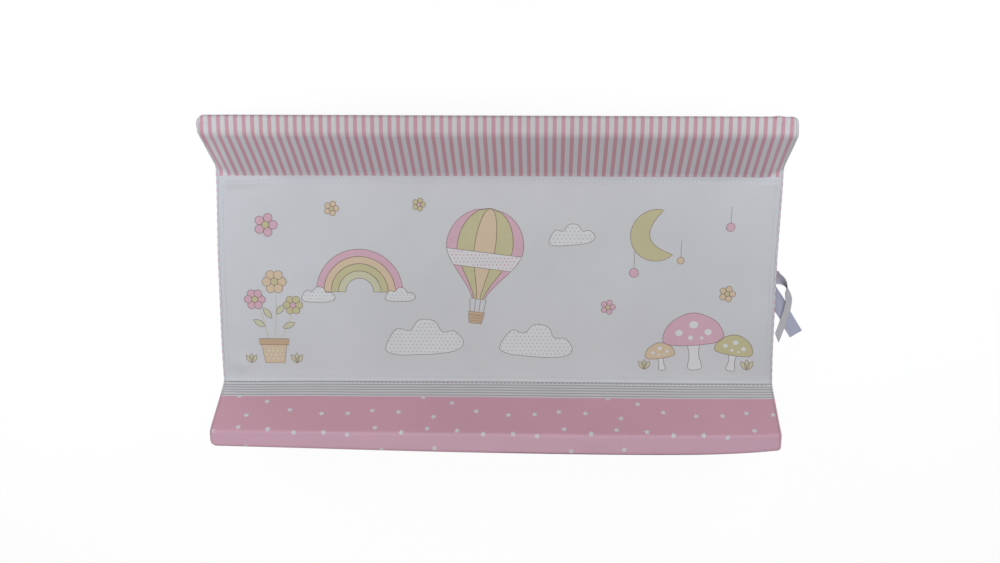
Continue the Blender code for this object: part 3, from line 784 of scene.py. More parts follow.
def end_grid(side):
    """An end panel's points and print places: top roll, ruled face, bottom roll.

    Each roll is a quarter circle. The face runs straight from the outline to a point at the foot, which has
    the outline's own y over the slopes and the pad. Under a ridge it is drawn in towards the middle.
    """
    path, inward = end_outline()
    turn = np.linspace(0, math.pi / 2, ROLL_ROWS)
    drawn = END_ROLL * (1 - np.cos(turn))[:, None, None]
    top = path[None] + inward[None] * drawn
    top_x = np.broadcast_to((HALF_LENGTH - END_ROLL + END_ROLL * np.sin(turn))[:, None], top.shape[:2])
    y = path[:, 0]
    up = np.clip((path[:, 1] - BOTTOM_ROUND) / (RIDGE_TOP - BOTTOM_ROUND), 0, 1)
    outer = np.clip((np.abs(y) - RIDGE_INNER) / (HALF_WIDTH - RIDGE_INNER), 0, 1)
    foot_y = np.sign(y) * (np.abs(y) - outer * (END_ROLL + FOOT_DRAWN_IN * up))
    foot = np.stack([foot_y, np.full(len(y), END_ROLL)], axis=1)
    share = np.linspace(0, 1, FACE_ROWS)[1:, None, None]
    face = top[-1][None] + (foot - top[-1])[None] * share
    face_x = np.full(face.shape[:2], HALF_LENGTH)
    back_turn = turn[::-1][1:, None]
    low = np.stack(np.broadcast_arrays(foot_y[None], END_ROLL - END_ROLL * np.cos(back_turn)), axis=-1)
    low_x = np.broadcast_to(HALF_LENGTH - END_ROLL + END_ROLL * np.sin(back_turn), low.shape[:2])
    flat = np.concatenate([top, face, low])
    x = np.concatenate([top_x, face_x, low_x])
    waves = ripples(flat[..., 0], flat[..., 1], 0.20, 0.05, 16, 21)
    puff = FACE_PUFF * smooth((flat[..., 1] - 0.004) / 0.02) * waves
    dent = (x > HALF_LENGTH - 1e-6) * (puff * 0.5 - FACE_SLACK)
    points = formed(np.stack([side * (x + np.minimum(dent, 0)), flat[..., 0], flat[..., 1]], axis=-1))
    outline_v = COVER_BACK + SIDE_TOP - BOTTOM_ROUND - np.concatenate(
        [[0], np.cumsum(np.linalg.norm(np.diff(path, axis=0), axis=1))])
    outline_v = outline_v + moved_across(side * HALF_LENGTH, outline_v)
    rows = np.diff(np.stack([x, flat[..., 0], flat[..., 1]], axis=-1), axis=0)
    down = np.concatenate([[0], np.cumsum(np.linalg.norm(rows, axis=-1).max(axis=1))])
    prints = np.stack(np.broadcast_arrays(flat[..., 0], outline_v[None], down[:, None]), axis=-1)
    return points, prints


end_films = {}
for side, name, node in (
    (-1, "left_end_film", "left_end_panel"),
    (1, "right_end_film", "right_end_panel"),
):
    points, prints = end_grid(side)
    end_films[side] = grid_object(name, points, end_looks[side], prints, flip=side < 0)
    give_thickness(end_films[side], FILM)
    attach(end_films[side], "mat")
    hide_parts(node)
    print(name, points.shape[:2])

# %% [markdown]
# The long sides are upright strips of the same striped film. They go slack between their seams, so they
# dent in a little. The underside is plain film drawn tight over the board, with its long edges turned up
# round it. Its ends are tucked in behind the end panels' lower rims, so the corners are closed.

# %% Side panels and underside
SIDE_ROWS = 24
SIDE_WAVE = 0.0007
SIDE_DENT = 0.0009
SIDE_FREE = 0.02


def side_grid(side):
    """A long side: upright film from the seam at the foot to the seam under the ridge, with ripples."""
    heights = np.linspace(BOTTOM_ROUND + SEAM_GAP, SIDE_TOP - SEAM_GAP, SIDE_ROWS)
    x, z = np.meshgrid(stations, heights, indexing="ij")
    free = smooth((z - heights[0]) / SIDE_FREE) * smooth((heights[-1] - z) / SIDE_FREE)
    dent = (ripples(x, z, 0.22, 0.06, 18, 31 + side) * SIDE_WAVE - SIDE_DENT) * free
    points = formed(np.stack([x, side * (HALF_WIDTH + np.minimum(dent, 0)), z], axis=-1))
    return points, np.stack([x, z, x], axis=-1)


for side, name, node in (
    (1, "back_side_film", "back_side_panel"),
    (-1, "front_side_film", "front_side_panel"),
):
    points, prints = side_grid(side)
    obj = grid_object(name, points, striped_film, prints, flip=side < 0)
    give_thickness(obj, FILM)
    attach(obj, "mat")
    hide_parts(node)
    print(name, points.shape[:2])

WEAVE_PITCH = 0.0016
PLAIN_LIGHT = linear(204, 204, 202)
PLAIN_DARK = linear(196, 196, 195)
UNDERSIDE_WAVE = 0.00012
UNDERSIDE_RISE = 0.00006
HIGHEST_RISE = 0.00024
TUCK_TURNS = (0.0, 22.0, 45.0, 66.0, 84.0)
TUCK_CLEAR = 0.0009


def plain_colour(tree, u, v, pulled):
    """Unprinted film: a faint weave of the backing shows through as slightly darker lines both ways."""
    warp = edge(tree, cell(tree, u, 0.0, WEAVE_PITCH), 0.36, 0.12)
    weft = edge(tree, cell(tree, v, 0.0, WEAVE_PITCH), 0.36, 0.12)
    return mixed(tree, calc(tree, "MAXIMUM", warp, weft), PLAIN_LIGHT, PLAIN_DARK)


underside_film = film_material("underside_film_satin", plain_colour, roughness=0.55, grain=0.16)
base_path = rounded_path(
    [(HALF_WIDTH, BOTTOM_ROUND), (HALF_WIDTH, 0), (-HALF_WIDTH, 0), (-HALF_WIDTH, BOTTOM_ROUND)],
    [BOTTOM_ROUND - 1e-6] * 2, 0.0060, 0.0010,
)
base_ahead = np.gradient(base_path, axis=0)
base_ahead /= np.linalg.norm(base_ahead, axis=1)[:, None]
base_inward = np.stack([base_ahead[:, 1], -base_ahead[:, 0]], axis=1)
tuck_turn = np.radians(TUCK_TURNS)
tucked = END_ROLL * (1 - np.cos(tuck_turn)) + TUCK_CLEAR * np.sin(tuck_turn) ** 0.5
tuck_x = COVER_END + END_ROLL * np.sin(tuck_turn)
even = even_then_close(COVER_END, 0.0070, 0.0020, 0.02)[1:-1]
base_x = np.concatenate([-tuck_x[::-1], even, tuck_x])
base_tuck = np.concatenate([tucked[::-1], np.zeros(len(even)), tucked])
x, index = np.meshgrid(base_x, np.arange(len(base_path)), indexing="ij")
y = base_path[index, 0] + base_inward[index, 0] * base_tuck[:, None]
z = base_path[index, 1] + base_inward[index, 1] * base_tuck[:, None]
waves = ripples(x, y, 0.25, 0.08, 16, 41)
rise = np.clip(waves * UNDERSIDE_WAVE + UNDERSIDE_RISE, 0, HIGHEST_RISE)
rise *= smooth((HALF_WIDTH - np.abs(y)) / 0.03) * smooth((COVER_END - np.abs(x)) / 0.02) * (z < 1e-5)
points = formed(np.stack([x, y, z + rise], axis=-1))
underside = grid_object("underside", points, underside_film, np.stack([x, y, x], axis=-1), flip=True)
give_thickness(underside, FILM)
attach(underside, "mat")
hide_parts("underside_panel")
print("underside", points.shape[:2])

# %% [markdown]
# ## Foam and board
# Inside are three blocks of foam and the board. They hardly show, but a cushion is only right if what fills
# it is: each block is a closed ring of points carried along the mat, drawn in a little at its ends, just
# under the film.

# %% Foam and board
INSIDE = FILM + SEAM_GAP
SIDE_SLACK = 0.0034
TOP_SLACK = 0.0003
SLOPE_SLACK = 0.0012
PAD_SLACK = 0.001
BLOCK_STATIONS = 60


def foam_material():
    """Cut foam: pale, dull, and full of small open pores."""
    made, tree, shader = new_material("cut_foam")
    coordinates = add_node(tree, "TexCoord").outputs["Object"]
    pores = add_node(tree, "TexVoronoi", Vector=coordinates, Scale=700.0).outputs["Distance"]
    tone = add_node(tree, "MapRange", Value=pores, in1=0.05, in2=0.5, in3=1.0, in4=0.0).outputs[0]
    colour = mixed(tree, tone, linear(238, 233, 214), linear(208, 198, 168))
    tree.links.new(colour, shader.inputs["Base Color"])
    bump = add_node(tree, "Bump", Strength=0.5, Distance=0.0006, Height=pores)
    tree.links.new(bump.outputs[0], shader.inputs["Normal"])
    shader.inputs["Roughness"].default_value = 0.95
    return made


cut_foam = foam_material()


def closed_ring(corners, radii):
    """A closed outline with rounded corners, which starts halfway between its last and its first corner."""
    corners = np.array(corners, float)
    middle = (corners[0] + corners[-1]) / 2
    return rounded_path(np.concatenate([[middle], corners, [middle]]), radii, 0.0022, 0.0010)[:-1]


def close_and_turn_out(obj, merge=0.0):
    """Merges points that lie within a distance, where one is given, and turns every face outwards."""
    build = bmesh.new()
    build.from_mesh(obj.data)
    if merge:
        bmesh.ops.remove_doubles(build, verts=build.verts, dist=merge)
    bmesh.ops.recalc_face_normals(build, faces=build.faces)
    build.to_mesh(obj.data)
    build.free()


def foam_block(name, node, corners, radii):
    """Carries the ring along the mat: its last stations are drawn towards its centre by a quarter circle."""
    ring = closed_ring(corners, radii)
    centre = (ring.min(axis=0) + ring.max(axis=0)) / 2
    half = HALF_LENGTH - 2 * INSIDE
    turn = np.linspace(0, math.pi / 2, 5)
    end_x = half - END_ROLL + END_ROLL * np.sin(turn)
    straight_x = np.linspace(-end_x[0], end_x[0], BLOCK_STATIONS)[1:-1]
    x = np.concatenate([-end_x[::-1], straight_x, end_x])
    draw = END_ROLL * (1 - np.cos(turn))
    drawn = np.concatenate([draw[::-1], np.zeros(len(straight_x)), draw])
    reach = np.maximum(np.abs(ring - centre).max(axis=0), 1e-6)
    flat = centre + (ring - centre)[None] * (1 - drawn[:, None, None] / reach[None, None])
    points = np.stack([np.broadcast_to(x[:, None], flat.shape[:2]), flat[..., 0], flat[..., 1]], axis=-1)
    caps = np.stack([points[0].mean(axis=0), points[-1].mean(axis=0)])
    points = np.concatenate([np.broadcast_to(caps[0], (1,) + points.shape[1:]), points,
                             np.broadcast_to(caps[1], (1,) + points.shape[1:])])
    obj = grid_object(name, formed(points), cut_foam, closed=True)
    close_and_turn_out(obj, merge=1e-6)
    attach(obj, "mat")
    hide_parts(node)
    print(name, len(obj.data.polygons), "faces")


low = FOAM_BASE + SEAM_GAP
high = RIDGE_TOP - INSIDE - TOP_SLACK
pad_side = SLOPE_FOOT - PAD_SLACK
pad_top = PANEL_TOP - INSIDE - TOP_SLACK
PAD_ROUNDS = [0.001] * 4
WEDGE_ROUNDS = [0.005, 0.010, 0.001, 0.001, 0.004]


def wedge(inner, side):
    """A bolster's section: upright outside, flat on top as far in as `inner`, then down its slope.

    The outside stands clear of the side film, which dents in by up to 3 mm.
    """
    outer = HALF_WIDTH - INSIDE - SIDE_SLACK
    foot = SLOPE_FOOT + SLOPE_SLACK
    outline = [
        (outer, high), (inner + SLOPE_SLACK, high), (foot, PANEL_TOP - TOP_SLACK), (foot, low), (outer, low),
    ]
    return [(side * y, z) for y, z in outline]


pad_outline = [(pad_side, pad_top), (-pad_side, pad_top), (-pad_side, low), (pad_side, low)]
foam_block("pad_block", "pad_foam", pad_outline, PAD_ROUNDS)
foam_block("back_bolster_block", "back_bolster_foam", wedge(RIDGE_INNER, 1), WEDGE_ROUNDS)
foam_block("front_bolster_block", "front_bolster_foam", wedge(FRONT_RIDGE_INNER, -1), WEDGE_ROUNDS)


def board_material():
    """Hardboard: brown pressed fibres, lighter and darker in short strands."""
    made, tree, shader = new_material("pressed_board")
    coordinates = add_node(tree, "TexCoord").outputs["Object"]
    drawn_out = add_node(tree, "Mapping", Vector=coordinates, Scale=(60.0, 400.0, 400.0)).outputs[0]
    fibres = add_node(tree, "TexNoise", Vector=drawn_out, Scale=1.0, Detail=6.0, Roughness=0.7).outputs[0]
    tone = add_node(tree, "MapRange", Value=fibres, in1=0.35, in2=0.65, in3=0.0, in4=1.0).outputs[0]
    tree.links.new(mixed(tree, tone, linear(110, 76, 48), linear(152, 112, 76)), shader.inputs["Base Color"])
    bump = add_node(tree, "Bump", Strength=0.3, Distance=0.0003, Height=fibres)
    tree.links.new(bump.outputs[0], shader.inputs["Normal"])
    shader.inputs["Roughness"].default_value = 0.8
    return made


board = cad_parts["base_board"]
board.data.materials.clear()
board.data.materials.append(board_material())
print("board", board.name)

# %% [markdown]
# ## Printed motifs
# The pad's picture and the stars on the pink band are printed. Each motif is a flat outline in millimetres
# on the film. It is filled with triangles, cut along a fine grid so that it can bend, and laid on the
# cover's surface with a height of a tenth of a millimetre, each layer a little above the last.

# %% Laying flat shapes on the film
INK_HEIGHT = 0.00013
INK_STEP = 0.00005


def ink_material(name, colour):
    """Ink on the film: the film's own sheen and grain, in a flat colour with a faint mottle."""
    def colour_at(tree, u, v, pulled):
        coordinates = add_node(tree, "TexCoord").outputs["Object"]
        mottle = add_node(tree, "TexNoise", Vector=coordinates, Scale=140.0).outputs[0]
        darker = tuple(value * 0.98 for value in colour[:3]) + (1.0,)
        return mixed(tree, edge(tree, mottle, 0.5, 0.25), colour, darker)

    return film_material(name, colour_at)


def laid_print(name, shapes, material, cut=6.0):
    """One object of flat printed shapes. Each shape is (outline in mm as rows of u and v, layer).

    A face whose cross product points into the film is turned over.
    """
    build = bmesh.new()
    for outline, layer in shapes:
        corners = [build.verts.new((u, v, layer)) for u, v in outline]
        build.faces.new(corners)
    build.normal_update()
    bmesh.ops.triangulate(build, faces=build.faces, ngon_method="EAR_CLIP")
    flat = np.array([vertex.co[:] for vertex in build.verts])
    for axis in (0, 1):
        normal = (1, 0, 0) if axis == 0 else (0, 1, 0)
        low, high = flat[:, axis].min(), flat[:, axis].max()
        for place in np.arange(math.floor(low / cut) + 1, math.ceil(high / cut)) * cut:
            bmesh.ops.bisect_plane(
                build, geom=build.verts[:] + build.edges[:] + build.faces[:],
                plane_co=(place, place, 0), plane_no=normal, dist=1e-4,
            )
    bmesh.ops.triangulate(build, faces=build.faces)
    build.verts.index_update()
    flat = np.array([vertex.co[:] for vertex in build.verts])
    faces = np.array([[vertex.index for vertex in face.verts] for face in build.faces])
    build.free()
    u, v = flat[:, 0] / 1000, flat[:, 1] / 1000
    points, normals = cover_at(u, v, INK_HEIGHT + INK_STEP * flat[:, 2])
    a, b, c = points[faces[:, 0]], points[faces[:, 1]], points[faces[:, 2]]
    inwards = (np.cross(b - a, c - a) * normals[faces[:, 0]]).sum(axis=1) < 0
    faces[inwards] = faces[inwards][:, ::-1]
    obj = mesh_object(name, points, faces, material, np.stack([u, v, u], axis=-1))
    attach(obj, "mat")
    print(name, len(shapes), "shapes,", len(faces), "faces")


def star(u, v, radius, turn):
    """A star's outline: five points at the radius, and five notches at half of it."""
    corner = np.arange(10)
    angles = math.radians(90 + turn) + corner * math.pi / 5
    reach = radius * np.where(corner % 2 == 0, 1, 0.5)
    return np.stack([u + reach * np.cos(angles), v + reach * np.sin(angles)], axis=1)


# %% [markdown]
# Small white stars are scattered on the pink band, and the scatter repeats every 265 mm along it. Each
# place is the star's middle on the flat film. A star that meets the seam or the band's edge is cut off
# there.

# %% Stars on the pink band
STAR_REPEAT = 265.45
STAR_RADIUS = 4.6
STAR_LAYOUT = [
    (-369.6, -184.6), (-353.1, -221.1), (-327.8, -194.8), (-292.7, -210.2), (-246.8, -216.5),
    (-209.7, -215.4), (-175.3, -210.2), (-137.8, -212.6), (-360.7, -242.7), (-318.5, -245.7),
    (-281.8, -250.6), (-239.9, -250.2), (-206.7, -252.9), (-168.6, -242.0), (-131.1, -249.1),
    (-350.1, -271.5), (-158.7, -274.3),
]
# The first two values are in mm, as the layout is, the next two in metres, and the rates per metre.
SEAM_U = COVER_END * 1000 - 0.4
SEAM_V = COVER_FRONT * 1000 + 0.6
PLAIN_FOOT = 0.1555
PLAIN_CREST = 0.2455
BEYOND_RATE = 14.4
MOVED_RATE = 14.0


def on_swell(outline):
    """Moves a flat outline in mm to where the swollen bolster shows it in the same place.

    The layout is drawn for a plain bolster. Swelling moves the crest out, so a place on the slope keeps its
    share of the way up a longer slope, and a place on the ridge keeps its distance from the plain crest. The
    two rates are the share of the slope that a metre beyond the crest, or of the crest's own move, counts as.
    """
    swell = swell_at(outline[:, 0] / 1000)
    moved = FRONT_RIDGE_INNER - RIDGE_INNER + CREST_SWELL * swell
    v = -outline[:, 1] / 1000
    beyond = np.maximum(v - PLAIN_CREST, 0)
    on_slope = (v - PLAIN_FOOT) / (PLAIN_CREST - PLAIN_FOOT)
    up = np.where(beyond > 0, 1 + beyond * BEYOND_RATE, on_slope) / (1 + moved * MOVED_RATE)
    flat = HALF_WIDTH - FRONT_RIDGE_INNER
    over = np.maximum(beyond - moved, 0) * flat / (flat + (1 - CREST_SWELL) * swell)
    found = np.where(up < 1, PLAIN_FOOT + up * (-FRONT_CREST - PLAIN_FOOT), -FRONT_CREST + over)
    return np.stack([outline[:, 0], -found * 1000], axis=1)


star_shapes = []
for repeat in range(-1, 4):
    for index, (u, v) in enumerate(STAR_LAYOUT):
        turn = float(np.random.default_rng(100 + index).uniform(-30, 30))
        place = u + repeat * STAR_REPEAT
        if abs(place) < SEAM_U + STAR_RADIUS * 0.6:
            place -= 1000 * float(slid(section_at(v / 1000)[0]))
            outline = on_swell(star(place, v, STAR_RADIUS, turn))
            outline[:, 0] = np.clip(outline[:, 0], -SEAM_U, SEAM_U)
            outline[:, 1] = np.clip(outline[:, 1], SEAM_V, PINK_START * 1000)
            star_shapes.append((outline, 0))
star_ink = ink_material("star_ink", linear(213, 212, 215))
laid_print("band_stars", star_shapes, star_ink, cut=2.0)

# %% [markdown]
# ## The pad's picture
# The pad carries a printed nursery picture in faded khaki, tan and pink with fine brown outlines and some
# grey dots. Its motifs are plain ones: a hot-air balloon over dotted clouds, a rainbow, a pot of flowers,
# toadstools, a moon. Every motif is a list of outlines, each with an ink and a layer, so moving or turning
# one is a single sum.

# %% Outlines for motifs
INKS = {
    "khaki_ink": (187, 180, 140),
    "tan_ink": (204, 182, 155),
    "bark_ink": (187, 160, 132),
    "pink_ink": (203, 163, 177),
    "leaf_ink": (193, 191, 163),
    "pale_ink": (210, 210, 211),
    "line_ink": (128, 106, 98),
    "dot_ink": (168, 167, 176),
}
LINE_WIDTH = 0.75
picture = []


def turned(outline, angle=0.0, u=0.0, v=0.0, scale=1.0):
    """The outline scaled, then turned about its origin by an angle in degrees, then moved to (u, v)."""
    along, across = math.cos(math.radians(angle)) * scale, math.sin(math.radians(angle)) * scale
    x, y = np.asarray(outline, float).T
    return np.stack([u + x * along - y * across, v + x * across + y * along], axis=1)


def oval(u, v, width, height, count=28, start=0.0, end=360.0):
    """Points of an ellipse about (u, v), or of its part between two angles."""
    angles = np.radians(np.linspace(start, end, count, endpoint=abs(end - start) < 360))
    return np.stack([u + width / 2 * np.cos(angles), v + height / 2 * np.sin(angles)], axis=1)


def soft_outline(knots, count=8):
    """A closed smooth curve through the knots: cubics whose slope is half the chord of the neighbours."""
    knots = np.asarray(knots, float)
    before, after = np.roll(knots, 1, axis=0), np.roll(knots, -1, axis=0)
    slope = (after - before) / 2
    t = (np.arange(count) / count)[None, :, None]
    a, b = knots[:, None], after[:, None]
    m, n = slope[:, None], np.roll(slope, -1, axis=0)[:, None]
    curve = (a * (2 * t**3 - 3 * t**2 + 1) + m * (t**3 - 2 * t**2 + t)
             + b * (3 * t**2 - 2 * t**3) + n * (t**3 - t**2))
    return curve.reshape(-1, 2)


def line_strip(outline, width=LINE_WIDTH, closed=True):
    """Quads that draw a line along the outline: each point moves half the width to both sides."""
    outline = np.asarray(outline, float)
    if closed:
        ahead = np.roll(outline, -1, axis=0) - np.roll(outline, 1, axis=0)
    else:
        ahead = np.gradient(outline, axis=0)
    ahead /= np.maximum(np.linalg.norm(ahead, axis=1)[:, None], TINY)
    side = np.stack([-ahead[:, 1], ahead[:, 0]], axis=1) * width / 2
    one, other = outline + side, outline - side
    last = len(outline) if closed else len(outline) - 1
    return [np.array([other[i], other[(i + 1) % len(outline)], one[(i + 1) % len(outline)], one[i]])
            for i in range(last)]


def draw(ink, outline, layer=1, line=True):
    """Adds a filled shape to the picture, with a fine line round it on the layer above."""
    picture.append((ink, np.asarray(outline, float), layer))
    if line:
        picture.extend(("line_ink", quad, layer + 1) for quad in line_strip(outline))


def draw_line(points, width=LINE_WIDTH, layer=2, ink="line_ink", closed=False):
    """Adds a line on its own."""
    picture.extend((ink, quad, layer) for quad in line_strip(points, width, closed))


def inside(outline, points):
    """Which points lie within an outline: a ray to the right crosses its sides an odd number of times."""
    outline = np.asarray(outline, float)
    a, b = outline, np.roll(outline, -1, axis=0)
    above = (a[:, 1] > points[:, None, 1]) != (b[:, 1] > points[:, None, 1])
    rise = np.where(b[:, 1] == a[:, 1], TINY, b[:, 1] - a[:, 1])
    reach = a[:, 0] + (b[:, 0] - a[:, 0]) * (points[:, None, 1] - a[:, 1]) / rise
    return (above & (points[:, None, 0] < reach)).sum(axis=1) % 2 == 1


def dotted(outline, spacing, size, layer, ink="dot_ink"):
    """Fills an outline with rows of dots, every other row moved by half the spacing, clear of its edge."""
    outline = np.asarray(outline, float)
    low, high = outline.min(axis=0), outline.max(axis=0)
    rows = np.arange(low[1], high[1], spacing * 0.87)
    for index, v in enumerate(rows):
        u = np.arange(low[0] + (index % 2) * spacing / 2, high[0], spacing)
        spots = np.stack([u, np.full(len(u), v)], axis=1)
        clear = inside(outline, spots)
        for du, dv in ((size, 0), (-size, 0), (0, size), (0, -size)):
            clear &= inside(outline, spots + np.array([du, dv]))
        for u, v in spots[clear]:
            picture.append((ink, oval(u, v, size, size, 8), layer))


def cloud(u, v, scale, turn=0.0):
    """A round-lobed cloud with a flat foot."""
    knots = [(-42, -8), (-30, -15), (-8, -16), (14, -16), (34, -13), (42, -4), (33, 8), (20, 8), (12, 20),
             (-4, 22), (-15, 11), (-30, 13)]
    return turned(soft_outline(knots), turn, u, v, scale)


def leaf(u, v, length, angle, width=0.42):
    """A pointed leaf from (u, v): its half width is a half sine wave along it."""
    t = np.linspace(0, 1, 9)
    half = np.sin(math.pi * t) * length * width / 2
    upper, lower = np.stack([t * length, half], axis=1), np.stack([t * length, -half], axis=1)
    return turned(np.concatenate([upper, lower[-2:0:-1]]), angle, u, v)


print("motif helpers ready,", len(INKS), "inks")

# %% [markdown]
# The largest motif is a hot-air balloon in five gores. Its outline is a half ellipse above and an S curve
# below, and the gores share that outline at fixed parts of its width. Dotted clouds float beside it.

# %% Balloon and clouds
def balloon(u, v, scale, lean):
    """A hot-air balloon: an envelope in gores, a band of dots, four ropes and a basket."""
    def place(outline):
        return turned(outline, lean, u, v, scale)

    t = np.linspace(0, 1, 30)
    height = 62 - 124 * t
    widest = 0.42
    dome = 52 * np.sqrt(np.clip(1 - ((t - widest) / widest) ** 2, 0, 1))
    taper = 52 - 39 * smooth((t - widest) / 0.66) * 1.17
    half = dome * (t <= widest) + (t > widest) * taper
    edges = np.array([-1.0, -0.72, -0.27, 0.27, 0.72, 1.0])
    for index, ink in enumerate(["pink_ink", "khaki_ink", "tan_ink", "khaki_ink", "pink_ink"]):
        left = np.stack([edges[index] * half, height], axis=1)
        right = np.stack([edges[index + 1] * half, height], axis=1)
        draw(ink, place(np.concatenate([left, right[::-1][:-1]])), 2)
    rows = slice(14, 20)
    right, left = np.stack([half, height], axis=1)[rows], np.stack([-half, height], axis=1)[rows]
    band = place(np.concatenate([right, left[::-1]]))
    draw("pale_ink", band, 4)
    dotted(band, 5.2 * scale, 2.4 * scale, 6, "pink_ink")
    for top, foot in ((-11, -9), (11, 9), (-3.5, -3), (3.5, 3)):
        draw_line(place([(top, -62), (foot, -80)]), 0.7)
    draw("bark_ink", place([(-11, -80), (11, -80), (8.5, -96), (-8.5, -96)]), 2)
    draw_line(place([(-10.3, -84.5), (10.3, -84.5)]), 0.7, 4)
    for lift in (-88.5, -92.3):
        draw_line(place([(-9.4, lift), (9.4, lift)]), 0.5, 4)


for u, v, scale, turn in ((-104, -92, 1.35, 3), (58, -96, 1.25, -4), (106, 60, 0.78, 5)):
    outline = cloud(u, v, scale, turn)
    draw("pale_ink", outline, 0)
    dotted(outline, 6.0, 1.9, 2)
balloon(-18, 34, 1.06, -7)
print("shapes so far", len(picture))

# %% [markdown]
# The other motifs fill the pad's ends and corners. Petals are ovals turned about a middle, leaves are half
# sine waves, and caps and stalks are smooth curves through a few knots.

# %% Rainbow, flowers and moon
def rainbow(u, v, radius, width):
    """Four half rings, one inside the other."""
    for index, ink in enumerate(["pink_ink", "tan_ink", "khaki_ink", "leaf_ink"]):
        outer = radius - index * width
        outline = np.concatenate([oval(u, v, 2 * outer, 2 * outer, 36, 0, 180),
                                  oval(u, v, 2 * (outer - width), 2 * (outer - width), 36, 180, 0)])
        draw(ink, outline, 1)


def bloom(u, v, size, ink, petals=6):
    """A flower of round petals about a dotted heart."""
    for index in range(petals):
        angle = 2 * math.pi * index / petals
        petal_u, petal_v = u + size * 0.36 * math.cos(angle), v + size * 0.36 * math.sin(angle)
        draw(ink, oval(petal_u, petal_v, size * 0.42, size * 0.42, 14), 2 + index % 2 * 2)
    draw("khaki_ink" if ink != "khaki_ink" else "pink_ink", oval(u, v, size * 0.34, size * 0.34, 14), 6)


def potted(u, v):
    """A flower pot with three stems."""
    for stem, tip, size, ink in (((-8, 0), (-26, 62), 27, "pink_ink"), ((0, 0), (3, 88), 31, "tan_ink"),
                                 ((8, 0), (29, 54), 25, "khaki_ink")):
        t = np.linspace(0, 1, 10)[:, None]
        bow = np.array([1.0, 0]) * np.sin(math.pi * t) * 3
        path = np.array(stem) + (np.array(tip) - np.array(stem)) * t + bow
        draw_line(path + np.array([u, v]), 1.1, 1, "leaf_ink")
        bloom(u + tip[0], v + tip[1], size, ink)
    for du, dv, length, angle in ((-12, 22, 20, 150), (-2, 34, 20, 128), (4, 40, 20, 48), (13, 20, 20, 24)):
        draw("leaf_ink", leaf(u + du, v + dv, length, angle), 1)
    draw("tan_ink", np.array([(-19, 0), (19, 0), (14, -32), (-14, -32)]) + np.array([u, v]), 3)
    draw("bark_ink", np.array([(-22, 4), (22, 4), (21, -5), (-21, -5)]) + np.array([u, v]), 5)
    dotted(np.array([(-18, -6), (18, -6), (14, -31), (-14, -31)]) + np.array([u, v]), 6.5, 2.4, 5, "pale_ink")


def toadstool(u, v, scale, lean, ink):
    """A stalk and a domed cap with spots."""
    def place(outline):
        return turned(outline, lean, u, v, scale)

    draw("pale_ink", place(soft_outline([(-7, 0), (7, 0), (5, 15), (6, 31), (-6, 31), (-5, 15)], 5)), 1)
    draw(ink, place(soft_outline([(-31, 30), (0, 25.5), (31, 30), (25, 50), (0, 61), (-25, 50)], 7)), 3)
    for du, dv, size in ((-15, 40, 8), (1, 48, 9.5), (16, 39, 8), (-3, 34, 5.5), (9, 33, 4)):
        draw("pale_ink", place(oval(du, dv, size, size * 0.86, 14)), 5, line=False)


def grass(u, v, count, size):
    """A tuft of leaves that fans out of one place."""
    for index in range(count):
        draw("leaf_ink", leaf(u, v, size, 90 + (index - (count - 1) / 2) * 34), 1)


rainbow(-196, -22, 62, 10.5)
for u, v, scale in ((-256, -28, 0.58), (-138, -27, 0.52)):
    outline = cloud(u, v, scale)
    draw("pale_ink", outline, 3)
    dotted(outline, 5.4, 1.7, 5)
potted(-322, -96)
toadstool(287, -132, 1.35, 4, "pink_ink")
toadstool(338, -134, 0.86, -9, "khaki_ink")
toadstool(240, -134, 0.66, 8, "tan_ink")
for u, v, count, size in ((214, -134, 3, 15), (362, -134, 3, 16), (-290, -128, 3, 15), (-356, -128, 3, 14)):
    grass(u, v, count, size)
MOON_RADIUS = 37
MOON_HOLLOW = 27
moon_turn = np.radians(np.linspace(62, 298, 26))
outer = np.stack([np.cos(moon_turn), np.sin(moon_turn)], axis=1) * MOON_RADIUS
mid = np.linspace(-1, 1, 22)
hollow = MOON_RADIUS * math.cos(moon_turn[0]) - MOON_HOLLOW * (1 - mid**2)
inner = np.stack([hollow, MOON_RADIUS * math.sin(moon_turn[0]) * mid], axis=1)
draw("khaki_ink", turned(np.concatenate([outer, inner[1:-1]]), 14, 226, 62), 1)
for u, v, size in ((196, 8, 13), (262, 26, 10), (330, 74, 12)):
    draw_line([(u, v + size / 2), (u, v + size / 2 + 24)], 0.6, 1)
    draw("pink_ink" if size > 11 else "tan_ink", oval(u, v, size, size, 18), 2)
for u, v, size, ink in ((-330, 74, 30, "pink_ink"), (-236, 98, 19, "tan_ink"), (160, -42, 19, "pink_ink"),
                        (-112, 104, 17, "khaki_ink"), (330, -22, 21, "tan_ink")):
    bloom(u, v, size, ink, 5)
print("shapes", len(picture))

# %% [markdown]
# One object per ink keeps the picture to eight pieces, however many outlines it has.

# %% Printing the picture
for name, colour in INKS.items():
    shapes = [(outline, layer) for ink, outline, layer in picture if ink == name]
    laid_print("pad_" + name, shapes, ink_material(name, linear(*colour)))

# %% [markdown]
# ## Stitches
# Thread holds the film down along both long edges of the pad: white in the back channel, and grey at the
# foot of the front slope, where it lies on the first pinstripe. A row of the film's own tone runs inside
# the seam at each end. A stitch is a short bowed rod whose ends dip into the film. All stitches of a row
# are worked out together: places along the row, rings along each stitch, and points round each ring.

# %% Stitches
def thread_material(name, light, dark):
    """Spun polyester thread: dull, with a fine twist in two tones."""
    made, tree, shader = new_material(name)
    coordinates = add_node(tree, "TexCoord").outputs["Object"]
    twist = add_node(tree, "TexNoise", Vector=coordinates, Scale=2500.0).outputs[0]
    tree.links.new(mixed(tree, twist, dark, light), shader.inputs["Base Color"])
    shader.inputs["Roughness"].default_value = 0.8
    return made


